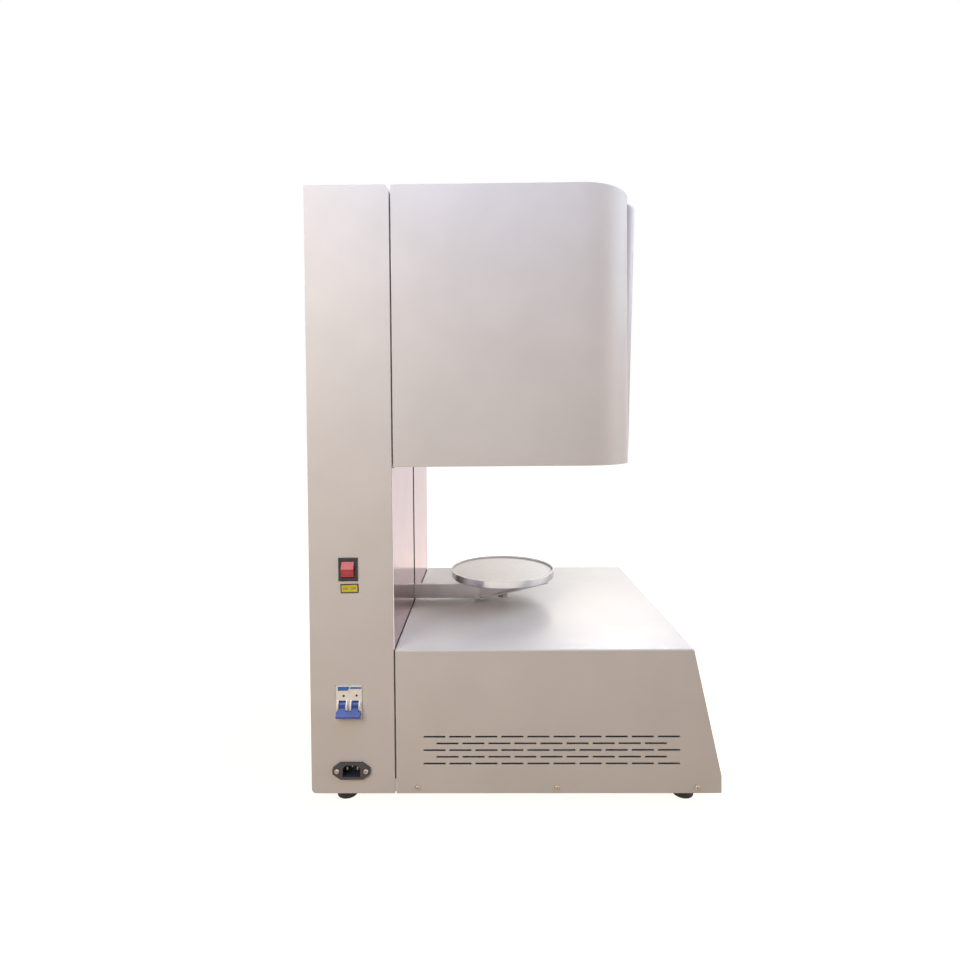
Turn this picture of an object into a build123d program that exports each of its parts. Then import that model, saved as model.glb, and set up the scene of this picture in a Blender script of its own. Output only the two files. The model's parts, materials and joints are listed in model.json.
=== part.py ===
from build123d import *
import os
from math import atan2, cos, degrees, hypot, radians, sin

# A dental porcelain furnace that loads from below. Sizes are in millimetres.
# The front faces -Y, the loading arm comes out of the column towards the front, and +Z is up.
# The origin is the middle of the footprint, on the plane that the feet stand on.

# Casing: column at the back, head above, base below
CASE_WIDTH = 440.0
CASE_HEIGHT = 831.0
COLUMN_DEPTH = 115.0
JOINT_GAP = 2.0
HEAD_LENGTH = 335.0
HEAD_HEIGHT = 381.5
HEAD_CORNER_RADIUS = 75.0
BASE_HEIGHT = 198.0
BASE_LENGTH = 445.0
BASE_TOP_LENGTH = 408.0
BASE_LIP_HEIGHT = 24.0
FOOT_HEIGHT = 22.0

# Sheet metal
SHEET = 1.5
RETURN_FLANGE = 15.0
BEND_RADIUS = 2.0
HEEL_RADIUS = 6.5
HEEL_FLANGE = 14.0
NOTCH_WIDTH = 5.0
NOTCH_HEIGHT = 8.0
HEAD_RIM = 14.0
PAN_SHEET = 2.0
PAN_RIM = 18.0

# Clearances
FIT = 0.3
RUNNING = 0.05
HOLE_PLAY = 0.2

# Stainless front panels of the column
PANEL_SHEET = 1.2
ARM_SLOT = 16.0
SLOT_FLANGE = 12.0
PANEL_END_GAP = 1.5

# Vent slots in the base cover
VENT_LENGTH = 30.0
VENT_HEIGHT = 2.6
VENT_PITCH = 35.65
VENT_ROW_PITCH = 9.3
VENT_ROWS = 5
VENTS_IN_LONG_ROW = 10
VENT_START = 37.8
VENT_LOWEST = 41.0

# Screws along the base's lower edge, and the rear panel's screws
SCREW_RADIUS = 2.0
SCREW_HEAD_RADIUS = 3.5
SCREW_HEAD_HEIGHT = 2.4
SCREW_DOME = 1.7
SCREW_LENGTH = 7.0
LIP_SCREW_HEIGHT = 8.0
LIP_SCREW_START = 29.0
LIP_SCREW_END = 33.0
LIP_SCREW_COUNT = 3

# Feet
FOOT_TOP_RADIUS = 17.0
FOOT_BOTTOM_RADIUS = 14.5
FOOT_END_INSET = 41.0
FOOT_SIDE_INSET = 36.0
FOOT_RECESS_RADIUS = 7.0
FOOT_RECESS_DEPTH = 9.0
FOOT_BOLT_RADIUS = 2.5
FOOT_BOLT_HEAD_RADIUS = 4.5
FOOT_BOLT_HEAD_HEIGHT = 3.5
FOOT_NUT_RADIUS = 4.6
FOOT_NUT_HEIGHT = 4.0

# Rear service panel
REAR_PANEL_WIDTH = 380.0
REAR_PANEL_END = 60.0
REAR_RIM = 12.0
REAR_SCREWS = 4
REAR_VENT_LENGTH = 80.0
REAR_VENT_HEIGHT = 3.0
REAR_VENT_PITCH = 10.0
REAR_VENT_ROWS = 9
REAR_VENT_DROP = 60.0
REAR_VENT_SPREAD = 80.0

# Exhaust fan behind the rear panel
FAN_SIZE = 92.0
FAN_DEPTH = 25.0
FAN_GAP = 4.0
FAN_HEIGHT = 120.0
FAN_BORE_RADIUS = 43.0
FAN_BLADE_RADIUS = 41.0
FAN_HUB_RADIUS = 17.0
FAN_BLADES = 7
FAN_BLADE_WIDTH = 24.0
FAN_BLADE_THICKNESS = 1.6
FAN_BLADE_TILT = 38.0
FAN_AXLE_RADIUS = 3.0
FAN_STRUT = 5.0

# Loading tray
TRAY_REACH = 155.5
TRAY_STAND = 56.0
TRAY_RADIUS = 89.0
TRAY_HEIGHT = 12.0
TRAY_WALL = 2.0
BOARD_DROP = 3.5
SEAL_GAP = 0.5

# Tray bracket and its stud
BRACKET_START = 106.0
BRACKET_LENGTH = 127.0
BRACKET_HEEL = 14.0
BRACKET_WIDTH = 28.0
BRACKET_STRIP = 2.5
BRACKET_END = 9.5
BRACKET_RIB = 15.0
BRACKET_TIP_DEPTH = 12.5
SEAT_RADIUS = 46.0
SEAT_THICKNESS = 3.0
STUD_RADIUS = 5.0
STUD_NUT_RADIUS = 9.2
STUD_NUT_HEIGHT = 5.0
STUD_TIP = 0.8

# Lift arm
ARM_THICKNESS = 10.0
ARM_HEIGHT = 24.0
ARM_GAP = 5.0
ARM_PAD_WIDTH = 60.0
ARM_PAD_HEIGHT = 44.0
ARM_PAD_THICKNESS = 8.0
ARM_BOLT_RADIUS = 3.0
ARM_BOLT_HEAD_RADIUS = 5.0
ARM_BOLT_HEAD_HEIGHT = 4.0
ARM_BOLT_LENGTH = 20.0
ARM_BOLT_INSET = 8.0

# Carriage, screw and guide rods
LIFT_DEPTH = 57.0
CARRIAGE_GAP = 3.0
CARRIAGE_DEPTH = 46.0
CARRIAGE_HEIGHT = 80.0
ROD_RADIUS = 8.0
BUSH_RADIUS = 14.0
BUSH_WALL = 2.0
BUSH_LENGTH = 26.0
THREAD_RADIUS = 8.0
THREAD_LEAD = 8.0
JOURNAL_RADIUS = 5.0
NUT_RADIUS = 13.0
NUT_FLANGE_RADIUS = 20.0
NUT_FLANGE = 6.0
BEARING_RADIUS = 13.0
STOP_GAP = 12.0
END_PLATE = 12.0
ROD_STANDOUT = 4.0

# Lift frame, motor and coupling
FRAME_WIDTH = 150.0
FRAME_SHEET = 3.0
FRAME_BACK = 38.0
FRAME_FRONT = 25.0
FRAME_RISE = 120.0
PLATE_FRONT = 23.0
COUPLING_RADIUS = 12.5
COUPLING_LENGTH = 30.0
COUPLING_GAP = 4.0
MOTOR_PLATE = 6.0
MOTOR_PLATE_EDGE = 2.5
MOTOR_SIZE = 57.0
MOTOR_CORNER = 5.0
MOTOR_LENGTH = 76.0
MOTOR_PILOT_RADIUS = 19.0
MOTOR_PILOT = 1.6
MOTOR_SHAFT_RADIUS = 4.0
MOTOR_SHAFT_DEPTH = 20.0

# Position sensors and their flag
SENSOR_LENGTH = 11.0
SENSOR_WIDTH = 14.0
SENSOR_HEIGHT = 12.0
SENSOR_SLOT = 5.0
SENSOR_BACK = 4.0
FLAG_THICKNESS = 1.5
FLAG_HEIGHT = 10.0
FLAG_END_GAP = 2.0

# Head support
BEAM_HEIGHT = 40.0
BEAM_DEPTH = 20.0
BEAM_GAP = 8.0
RAIL_WIDTH = 20.0
RAIL_HEIGHT = 30.0
RAIL_WALL = 2.0
RAIL_GAP = 4.0
RAIL_LENGTH = 315.0

# Heating chamber
CHAMBER_RADIUS = 70.0
INSULATION = 55.0
CHAMBER_HEIGHT = 180.0
ROOF_THICKNESS = 55.0
CAN_SHEET = 1.2
CAN_FLANGE = 8.0
LID_SHEET = 2.0
LID_OVERHANG = 4.0
MOUTH_CLEARANCE = 6.0
TRIM_CLEARANCE = 3.5
TRIM_WIDTH = 12.0
TRIM_THICKNESS = 1.5

# Heating elements
ELEMENTS = 4
ELEMENT_CIRCLE = 56.0
ELEMENT_SPACING = 24.0
HOT_RADIUS = 3.0
COLD_RADIUS = 5.0
HOT_LENGTH = 120.0
COLD_ENTRY = 8.0
TERMINAL_HEIGHT = 62.0
HOLDER_LENGTH = 46.0
HOLDER_WIDTH = 20.0
HOLDER_HEIGHT = 16.0
STRAP_WIDTH = 15.0
STRAP_THICKNESS = 3.0
STRAP_DROP = 12.0

# Thermocouple
PROBE_RADIUS = 3.0
PROBE_DEPTH = 25.0
PROBE_COLLAR_RADIUS = 8.0
PROBE_COLLAR = 20.0
PROBE_HEAD_RADIUS = 15.0
PROBE_HEAD = 25.0

# Head fascia and screen
FASCIA_WIDTH = 304.0
FASCIA_BOTTOM = 10.0
FASCIA_TOP = 1.0
FASCIA_FOOT_DEPTH = 2.5
FASCIA_HEAD_DEPTH = 14.0
FASCIA_EDGE = 4.0
FASCIA_ROUND = 5.0
SCREEN_WIDTH = 170.0
SCREEN_HEIGHT = 102.0
SCREEN_DEPTH = 8.0
SCREEN_BORDER = 8.0
SCREEN_DROP = 120.0
BEZEL_BORDER = 10.0
BEZEL_THICKNESS = 2.5
BEZEL_CORNER = 6.0
DISPLAY_BOARD = 1.6

# Vents in the head's top
TOP_VENT_LENGTH = 90.0
TOP_VENT_WIDTH = 5.0
TOP_VENT_PITCH = 14.0
TOP_VENTS = 11
TOP_VENT_SPREAD = 120.0

# Rocker switch, on the column's left side
SWITCH_BACK = 54.0
SWITCH_HEIGHT = 310.0
SWITCH_WIDTH = 26.6
SWITCH_TALL = 32.0
SWITCH_LIP = 2.0
SWITCH_BODY_WIDTH = 22.0
SWITCH_BODY_TALL = 28.0
SWITCH_DEPTH = 24.0
SWITCH_WALL = 2.0
ROCKER_WIDTH = 17.0
ROCKER_RADIUS = 11.0
ROCKER_PIVOT_DEPTH = 3.0
ROCKER_RIDGE = 5.5
ROCKER_EDGE = 0.9
ROCKER_RECESS = 0.7
ROCKER_BORDER = 2.2
ROCKER_TILT = 10.0
ROCKER_HUB = 6.0

# Two-pole breaker, on the column's left side
BREAKER_BACK = 53.2
BREAKER_HEIGHT = 127.3
BREAKER_WIDTH = 35.6
NOSE_HEIGHT = 45.0
NOSE_DEPTH = 20.0
NOSE_PROUD = 1.0
WINDOW_GAP = 0.4
BREAKER_TALL = 82.0
BREAKER_DEPTH = 62.0
BREAKER_SHOULDER = 9.0
LEVER_PIVOT_DROP = 5.3
LEVER_PIVOT_DEPTH = 4.0
LEVER_LENGTH = 18.0
LEVER_THICKNESS = 6.0
LEVER_DROP_ANGLE = 48.0
LEVER_TRAVEL = 86.0
LEVER_HUB_RADIUS = 6.5
LEVER_LEG = 9.5
LEVER_ROUND = 1.2
CHEEK_RADIUS = 9.2
CHEEK_WALL = 2.0
HANDLE_WIDTH = 33.0
DIN_RAIL_HEIGHT = 35.0
DIN_RAIL_DEPTH = 7.5
DIN_RAIL_SHEET = 1.0
DIN_RAIL_BRIM = 4.0
DIN_RAIL_LENGTH = 60.0
RAIL_POST_SHEET = 2.0
RAIL_POST_FOOT = 20.0

# Mains inlet, on the column's left side
INLET_BACK = 55.6
INLET_HEIGHT = 32.4
INLET_LENGTH = 52.0
INLET_TALL = 23.2
INLET_SHOULDER = 31.0
INLET_NOSE = 8.4
INLET_NOSE_ROUND = 3.4
INLET_FLANGE = 3.0
INLET_BODY_LENGTH = 27.4
INLET_BODY_TALL = 19.8
INLET_DEPTH = 26.0
INLET_SOCKET_LENGTH = 24.2
INLET_SOCKET_TALL = 16.2
INLET_SOCKET_DEPTH = 17.0
INLET_SOCKET_CHAMFER = 4.5
INLET_SCREW_SPACING = 40.0
PIN_SPACING = 14.0
PIN_RISE = 4.0
PIN_TALL = 4.0
PIN_WIDE = 2.0
PIN_LENGTH = 10.0
PIN_TAIL = 9.0

# Electrics in the base
CORE_LENGTH = 120.0
CORE_HEIGHT = 100.0
CORE_STACK = 70.0
CORE_LIMB = 20.0
COIL_OVERHANG = 18.0
COIL_PLAY = 0.5
TRANSFORMER_INSET = 125.0
TRANSFORMER_SETBACK = 130.0
SINK_LENGTH = 130.0
SINK_WIDTH = 110.0
SINK_PLATE = 8.0
SINK_FIN = 2.5
SINK_FINS = 13
SINK_HEIGHT = 50.0
SINK_INSET = 110.0
SINK_SETBACK = 110.0
RELAY_LENGTH = 58.0
RELAY_WIDTH = 45.0
RELAY_HEIGHT = 27.0
BOARD_LENGTH = 170.0
BOARD_WIDTH = 100.0
BOARD_THICKNESS = 1.6
BOARD_INSET = 140.0
BOARD_SETBACK = 285.0
BOARD_HOLE_INSET = 6.0
BOARD_PARTS = 4
BOARD_PART_LENGTH = 14.0
BOARD_PART_WIDTH = 25.0
BOARD_PART_PITCH = 19.0
BOARD_PART_START = 42.0
STANDOFF_RADIUS = 4.0
STANDOFF_HEIGHT = 12.0

# Places worked out from the sizes above
LENGTH = COLUMN_DEPTH + JOINT_GAP + BASE_LENGTH
X_SIDE = CASE_WIDTH / 2
Y_BACK = LENGTH / 2
Y_COLUMN = Y_BACK - COLUMN_DEPTH
Y_REAR_EDGE = Y_COLUMN - JOINT_GAP
Y_LIP = Y_REAR_EDGE - BASE_LENGTH
Y_BASE_TOP = Y_REAR_EDGE - BASE_TOP_LENGTH
Y_HEAD = Y_REAR_EDGE - HEAD_LENGTH
Z_CASE = FOOT_HEIGHT
Z_TOP = Z_CASE + CASE_HEIGHT
Z_BAY = Z_CASE + BASE_HEIGHT
Z_HEAD = Z_TOP - HEAD_HEIGHT
Z_PAN = Z_CASE + SHEET
Z_FLOOR = Z_PAN + PAN_SHEET
Z_SEAL = Z_HEAD + SHEET
Y_TRAY = Y_COLUMN - TRAY_REACH
Z_TRAY_TOP = Z_BAY + TRAY_STAND
Z_TRAY = Z_TRAY_TOP - TRAY_HEIGHT
LIFT_TRAVEL = Z_SEAL - SEAL_GAP - Z_TRAY_TOP
Y_LIFT = Y_COLUMN + LIFT_DEPTH
Z_ARM = Z_BAY + ARM_GAP + ARM_HEIGHT / 2
Y_ROOT = Y_COLUMN - BRACKET_START
Y_HEEL = Y_ROOT - BRACKET_HEEL
Y_TIP = Y_ROOT - BRACKET_LENGTH
BRACKET_SLOPE = (Z_TRAY - BRACKET_TIP_DEPTH - Z_ARM + ARM_HEIGHT / 2) / (Y_HEEL - Y_TIP)
Y_CARRIAGE = Y_LIFT - CARRIAGE_DEPTH / 2
CARRIAGE_WIDTH = FRAME_WIDTH - 2 * (FRAME_SHEET + SENSOR_LENGTH + CARRIAGE_GAP)
ROD_SPACING = CARRIAGE_WIDTH - 2 * (BUSH_RADIUS + BUSH_WALL)
Z_CARRIAGE = Z_ARM - CARRIAGE_HEIGHT / 2
Z_CARRIAGE_TOP = Z_CARRIAGE + CARRIAGE_HEIGHT
Z_LOWER_PLATE = Z_CARRIAGE - NUT_FLANGE - STOP_GAP - END_PLATE
Z_UPPER_PLATE = Z_CARRIAGE_TOP + LIFT_TRAVEL + STOP_GAP
Z_COUPLING = Z_LOWER_PLATE - COUPLING_GAP - COUPLING_LENGTH
Z_MOTOR = Z_COUPLING - COUPLING_GAP - MOTOR_PLATE
Y_WEB = Y_LIFT + FRAME_BACK
Z_BEAM = Z_CARRIAGE_TOP + LIFT_TRAVEL + BEAM_GAP
Z_FRAME_TOP = Z_BEAM + BEAM_HEIGHT + FRAME_RISE
Y_FRAME_FRONT = Y_LIFT - FRAME_FRONT
MOUTH_RADIUS = TRAY_RADIUS + MOUTH_CLEARANCE
CAN_RADIUS = CHAMBER_RADIUS + INSULATION
Z_ROOF = Z_SEAL + CHAMBER_HEIGHT
Z_LID = Z_ROOF + ROOF_THICKNESS
Z_LID_TOP = Z_LID + LID_SHEET
FAN_X = FRAME_WIDTH / 2 + FAN_GAP + FAN_SIZE / 2
TRANSFORMER_X = TRANSFORMER_INSET - X_SIDE
SINK_X = X_SIDE - SINK_INSET
BOARD_X = X_SIDE - BOARD_INSET
Y_FAN = Y_BACK - SHEET - FAN_DEPTH


def block(x, y, z):
    """Box between the two ends given along each direction."""
    middle = [sum(pair) / 2 for pair in (x, y, z)]
    size = [abs(pair[1] - pair[0]) for pair in (x, y, z)]
    return Pos(*middle) * Box(*size)


def both(half):
    """The two ends of a stretch that is centred on zero."""
    return (-half, half)


def around(middle, size):
    """The two ends of a stretch of the given size round its middle."""
    return (middle - size / 2, middle + size / 2)


def rod_z(radius, x, y, z):
    """Upright round bar at x, y, between the two heights in z."""
    return Pos(x, y, sum(z) / 2) * Cylinder(radius, abs(z[1] - z[0]))


def rod_y(radius, x, y, z):
    """Round bar that runs front to back, between the two ends in y."""
    return Pos(x, sum(y) / 2, z) * Rot(90, 0, 0) * Cylinder(radius, abs(y[1] - y[0]))


def rod_x(radius, x, y, z):
    """Round bar that runs side to side, between the two ends in x."""
    return Pos(sum(x) / 2, y, z) * Rot(0, 90, 0) * Cylinder(radius, abs(x[1] - x[0]))


def along_x(outline, x):
    """Side-view face, drawn as (y, z), carried from the first x to the second."""
    return Pos(x[0], 0, 0) * extrude(Plane.YZ * outline, amount=x[1] - x[0], dir=(1, 0, 0))


def along_y(outline, y):
    """Front-view face, drawn as (x, z), carried from the first y to the second."""
    return Pos(0, y[0], 0) * extrude(Plane.XZ * outline, amount=y[1] - y[0], dir=(0, 1, 0))


def along_z(outline, z):
    """Plan-view face, drawn as (x, y), carried from the first height to the second."""
    return Pos(0, 0, z[0]) * extrude(outline, amount=z[1] - z[0], dir=(0, 0, 1))


def edge_near(solid, axis, spot):
    """The edge along an axis whose middle lies nearest to a spot."""
    edges = solid.edges().filter_by(axis)
    return min(edges, key=lambda edge: (edge.center() - Vector(*spot)).length)


def corner_near(sketch, spot):
    """The corner of a flat outline that lies nearest to a spot in its own plane."""
    return min(sketch.vertices(), key=lambda v: hypot(v.X - spot[0], v.Y - spot[1]))


def inset(outline, wall):
    """The same outline moved inwards by a wall's thickness."""
    return offset(outline, amount=-wall, kind=Kind.INTERSECTION)


def ring(outer, inner, x, y, z):
    """Upright tube or washer."""
    return rod_z(outer, x, y, z) - rod_z(inner, x, y, z)


def group(solids):
    """Several separate solids kept as one node."""
    return Compound(children=[part.solid() if hasattr(part, "solid") else part for part in solids])


# Casing

def column_outline():
    """Side view of the column: rounded heel at the back, chamfer at the top front."""
    outline = Polygon(
        (Y_COLUMN, Z_CASE),
        (Y_BACK, Z_CASE),
        (Y_BACK, Z_TOP),
        (Y_COLUMN + NOTCH_WIDTH, Z_TOP),
        (Y_COLUMN, Z_TOP - NOTCH_HEIGHT),
    )
    return fillet(corner_near(outline, (Y_BACK, Z_CASE)), HEEL_RADIUS)


def rear_opening(grow):
    """Width and height ranges of the rear service opening, grown all round."""
    x = both(REAR_PANEL_WIDTH / 2 + grow)
    z = (Z_CASE + REAR_PANEL_END - grow, Z_TOP - REAR_PANEL_END + grow)
    return x, z


def side_hole(width, tall, back, height):
    """Hole through the column's left side; back is measured from the rear edge."""
    x = (-X_SIDE - SHEET, -X_SIDE + 2 * SHEET)
    return block(x, around(Y_BACK - back, width), around(Z_CASE + height, tall))


def column_shell():
    """Folded sheet: two sides, back and top, open at the front and below."""
    inside = X_SIDE - SHEET
    outline = column_outline()
    shell = along_x(outline, both(X_SIDE)) - along_x(inset(outline, SHEET), both(inside))
    beyond = Y_COLUMN - SHEET
    shell -= block(both(inside - RETURN_FLANGE), (beyond, Y_COLUMN + 2 * SHEET),
                   (Z_CASE - SHEET, Z_TOP - NOTCH_HEIGHT - RETURN_FLANGE))
    shell -= block(both(inside), (beyond, Y_BACK - HEEL_FLANGE), (Z_CASE - SHEET, Z_PAN))
    shell -= block(both(inside), (beyond, Y_COLUMN + 2 * SHEET),
                   (Z_PAN - SHEET, Z_PAN + PAN_RIM + FIT))
    x, z = rear_opening(0)
    shell -= block(x, (Y_BACK - 2 * SHEET, Y_BACK + SHEET), z)
    rim_x, rim_z = rear_opening(REAR_RIM / 2)
    hole_x, hole_z = rear_opening(-REAR_RIM)
    rim_y = (Y_BACK - 2 * SHEET, Y_BACK - SHEET)
    rim = block(rim_x, rim_y, rim_z) - block(hole_x, rim_y, hole_z)
    for x, z in rear_screw_places():
        rim -= rod_y(SCREW_RADIUS, x, rim_y, z)
    shell += rim
    shell -= side_hole(SWITCH_BODY_WIDTH + 2 * FIT, SWITCH_BODY_TALL + 2 * FIT, SWITCH_BACK, SWITCH_HEIGHT)
    shell -= side_hole(BREAKER_WIDTH + 2 * WINDOW_GAP, NOSE_HEIGHT + 2 * WINDOW_GAP,
                       BREAKER_BACK, BREAKER_HEIGHT)
    shell -= side_hole(INLET_BODY_LENGTH + 2 * FIT, INLET_BODY_TALL + 2 * FIT, INLET_BACK, INLET_HEIGHT)
    for y in inlet_screw_places():
        shell -= rod_x(SCREW_RADIUS, (-X_SIDE - SHEET, -X_SIDE + 2 * SHEET), y, Z_CASE + INLET_HEIGHT)
    return shell


def rear_screw_places():
    """Screws of the rear panel: a row down each side, in the middle of the rim."""
    x_screw = REAR_PANEL_WIDTH / 2 - REAR_RIM / 2
    low, high = rear_opening(-REAR_RIM / 2)[1]
    heights = [low + (high - low) * step / (REAR_SCREWS - 1) for step in range(REAR_SCREWS)]
    return [(side * x_screw, z) for side in (-1, 1) for z in heights]


def column_rear_panel():
    """Service panel, flush in the back, with vents above and the fan's grille below."""
    x, z = rear_opening(-FIT)
    panel = block(x, (Y_BACK - SHEET, Y_BACK), z)
    through = (Y_BACK - 2 * SHEET, Y_BACK + SHEET)
    for row in range(REAR_VENT_ROWS):
        height = z[1] - REAR_VENT_DROP - row * REAR_VENT_PITCH
        for side in (-1, 1):
            panel -= block(around(side * REAR_VENT_SPREAD, REAR_VENT_LENGTH), through,
                           around(height, REAR_VENT_HEIGHT))
    rows = int(FAN_BORE_RADIUS // REAR_VENT_PITCH)
    for row in range(-rows, rows + 1):
        drop = row * REAR_VENT_PITCH
        half = (FAN_BORE_RADIUS ** 2 - drop ** 2) ** 0.5
        panel -= block(around(FAN_X, 2 * half), through, around(Z_CASE + FAN_HEIGHT + drop, REAR_VENT_HEIGHT))
    for x, z in rear_screw_places():
        panel -= rod_y(SCREW_RADIUS + HOLE_PLAY, x, through, z)
    return panel


def pan_head_screw():
    """Small screw at the origin, its domed head standing out along +Z."""
    head = Pos(0, 0, SCREW_HEAD_HEIGHT / 2) * Cylinder(SCREW_HEAD_RADIUS, SCREW_HEAD_HEIGHT)
    head = fillet(head.edges().sort_by(Axis.Z)[-1], SCREW_DOME)
    return head + Pos(0, 0, -SCREW_LENGTH / 2) * Cylinder(SCREW_RADIUS, SCREW_LENGTH)


def front_panel(side):
    """Polished stainless panel on one side of the arm's slot, folded inwards at the slot."""
    slot = ARM_SLOT / 2
    z = (Z_BAY + PANEL_END_GAP, Z_HEAD - PANEL_END_GAP)
    face = block((slot, X_SIDE - FIT), (Y_COLUMN - PANEL_SHEET, Y_COLUMN), z)
    fold = block((slot, slot + PANEL_SHEET), (Y_COLUMN - PANEL_SHEET, Y_COLUMN + SLOT_FLANGE), z)
    panel = face + fold
    return panel if side > 0 else mirror(panel, about=Plane.YZ)


def base_outline():
    """Side view of the base: level top, slanted front and an upright lip."""
    return Polygon(
        (Y_REAR_EDGE, Z_CASE),
        (Y_REAR_EDGE, Z_BAY),
        (Y_BASE_TOP, Z_BAY),
        (Y_LIP, Z_CASE + BASE_LIP_HEIGHT),
        (Y_LIP, Z_CASE),
    )


def vent_places():
    """Middles of the vent slots as (y, z): every second row is shifted by half a pitch."""
    places = []
    for row in range(VENT_ROWS):
        short = row % 2
        for step in range(VENTS_IN_LONG_ROW - short):
            y = Y_REAR_EDGE - VENT_START - VENT_LENGTH / 2 - (step + short / 2) * VENT_PITCH
            places.append((y, Z_CASE + VENT_LOWEST + row * VENT_ROW_PITCH))
    return places


def lip_screw_places():
    """Distances along Y of the screws in the base's lower edge."""
    first, last = Y_REAR_EDGE - LIP_SCREW_START, Y_LIP + LIP_SCREW_END
    pitch = (first - last) / (LIP_SCREW_COUNT - 1)
    return [first - step * pitch for step in range(LIP_SCREW_COUNT)]


def base_cover():
    """Folded cover: top, vented sides and slanted front, open below and behind."""
    inside = X_SIDE - SHEET
    outline = base_outline()
    cover = along_x(outline, both(X_SIDE))
    middle = (Y_REAR_EDGE + Y_BASE_TOP) / 2
    bends = [
        edge_near(cover, Axis.X, (0, Y_BASE_TOP, Z_BAY)),
        edge_near(cover, Axis.Y, (-X_SIDE, middle, Z_BAY)),
        edge_near(cover, Axis.Y, (X_SIDE, middle, Z_BAY)),
    ]
    cover = fillet(bends, BEND_RADIUS)
    cover -= along_x(inset(outline, SHEET), both(inside))
    cover -= block(both(inside), (Y_LIP + SHEET, Y_REAR_EDGE - SHEET), (Z_CASE - SHEET, Z_PAN + SHEET))
    behind = (Y_REAR_EDGE - 2 * SHEET, Y_REAR_EDGE + SHEET)
    cover -= block(both(inside - RETURN_FLANGE), behind, (Z_CASE - SHEET, Z_BAY - SHEET - RETURN_FLANGE))
    cover -= block(both(inside), behind, (Z_CASE - SHEET, Z_PAN + PAN_RIM + FIT))
    for side in (-1, 1):
        wall = (side * (X_SIDE - 2 * SHEET), side * (X_SIDE + SHEET))
        for y, z in vent_places():
            cover -= block(wall, around(y, VENT_LENGTH), around(z, VENT_HEIGHT))
        for y in lip_screw_places():
            cover -= rod_x(SCREW_RADIUS + HOLE_PLAY, wall, y, Z_CASE + LIP_SCREW_HEIGHT)
    return cover


def casing_screws():
    """Like screws of the base cover, the rear service panel and the mains inlet."""
    solids = []
    for side in (-1, 1):
        screw = Rot(0, 90 * side, 0) * pan_head_screw()
        for y in lip_screw_places():
            solids.append(Pos(side * X_SIDE, y, Z_CASE + LIP_SCREW_HEIGHT) * screw)
    screw = Rot(-90, 0, 0) * pan_head_screw()
    solids += [Pos(x, Y_BACK, z) * screw for x, z in rear_screw_places()]
    screw = Rot(0, -90, 0) * pan_head_screw()
    x_inlet = -X_SIDE - INLET_FLANGE
    solids += [Pos(x_inlet, y, Z_CASE + INLET_HEIGHT) * screw for y in inlet_screw_places()]
    return group(solids)


def base_pan():
    """Folded tray that carries everything, with a rim just inside the covers."""
    x = both(X_SIDE - SHEET - FIT)
    y = (Y_LIP + SHEET + FIT, Y_BACK - SHEET - FIT)
    pan = block(x, y, (Z_PAN, Z_PAN + PAN_RIM))
    pan = fillet(edge_near(pan, Axis.X, (0, y[1], Z_PAN)), HEEL_RADIUS - SHEET - FIT)
    inner_y = (y[0] + PAN_SHEET, y[1] - PAN_SHEET)
    pan -= block((x[0] + PAN_SHEET, x[1] - PAN_SHEET), inner_y, (Z_FLOOR, Z_FLOOR + PAN_RIM))
    for side in (-1, 1):
        wall = (side * (X_SIDE - 2 * SHEET - PAN_SHEET), side * X_SIDE)
        for along in lip_screw_places():
            pan -= rod_x(SCREW_RADIUS, wall, along, Z_CASE + LIP_SCREW_HEIGHT)
    for x_foot, y_foot in foot_places():
        pan -= rod_z(FOOT_BOLT_RADIUS + HOLE_PLAY, x_foot, y_foot, (Z_PAN, Z_FLOOR))
    return pan


def foot_places():
    """Middles of the four feet, set in from the ends and the sides."""
    x_foot = X_SIDE - FOOT_SIDE_INSET
    return [(sx * x_foot, y) for sx in (-1, 1) for y in (Y_LIP + FOOT_END_INSET, Y_BACK - FOOT_END_INSET)]


def rubber_feet():
    """Tapered rubber feet with a recess for the bolt's head."""
    outline = Polygon(
        (FOOT_BOLT_RADIUS + HOLE_PLAY, FOOT_RECESS_DEPTH),
        (FOOT_RECESS_RADIUS, FOOT_RECESS_DEPTH),
        (FOOT_RECESS_RADIUS, 0),
        (FOOT_BOTTOM_RADIUS, 0),
        (FOOT_TOP_RADIUS, Z_PAN),
        (FOOT_BOLT_RADIUS + HOLE_PLAY, Z_PAN),
    )
    foot = revolve(Plane.XZ * outline, axis=Axis.Z)
    return group([Pos(x, y, 0) * foot for x, y in foot_places()])


def foot_bolts():
    """Bolts that hold the feet, each with its nut on the pan's floor."""
    head = rod_z(FOOT_BOLT_HEAD_RADIUS, 0, 0, (FOOT_RECESS_DEPTH - FOOT_BOLT_HEAD_HEIGHT, FOOT_RECESS_DEPTH))
    shank = rod_z(FOOT_BOLT_RADIUS, 0, 0, (FOOT_RECESS_DEPTH, Z_FLOOR + FOOT_NUT_HEIGHT))
    nut = along_z(RegularPolygon(FOOT_NUT_RADIUS, 6), (Z_FLOOR, Z_FLOOR + FOOT_NUT_HEIGHT))
    bolt = head + shank + nut
    return group([Pos(x, y, 0) * bolt for x, y in foot_places()])


def head_outline():
    """Plan view of the head: square at the column, large round corners in front."""
    outline = Polygon(
        (-X_SIDE, Y_HEAD),
        (X_SIDE, Y_HEAD),
        (X_SIDE, Y_REAR_EDGE),
        (-X_SIDE, Y_REAR_EDGE),
    )
    corners = [corner_near(outline, (side * X_SIDE, Y_HEAD)) for side in (-1, 1)]
    return fillet(corners, HEAD_CORNER_RADIUS)


def screen_height():
    """Height of the screen's middle above the feet."""
    return Z_TOP - SCREEN_DROP


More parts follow.
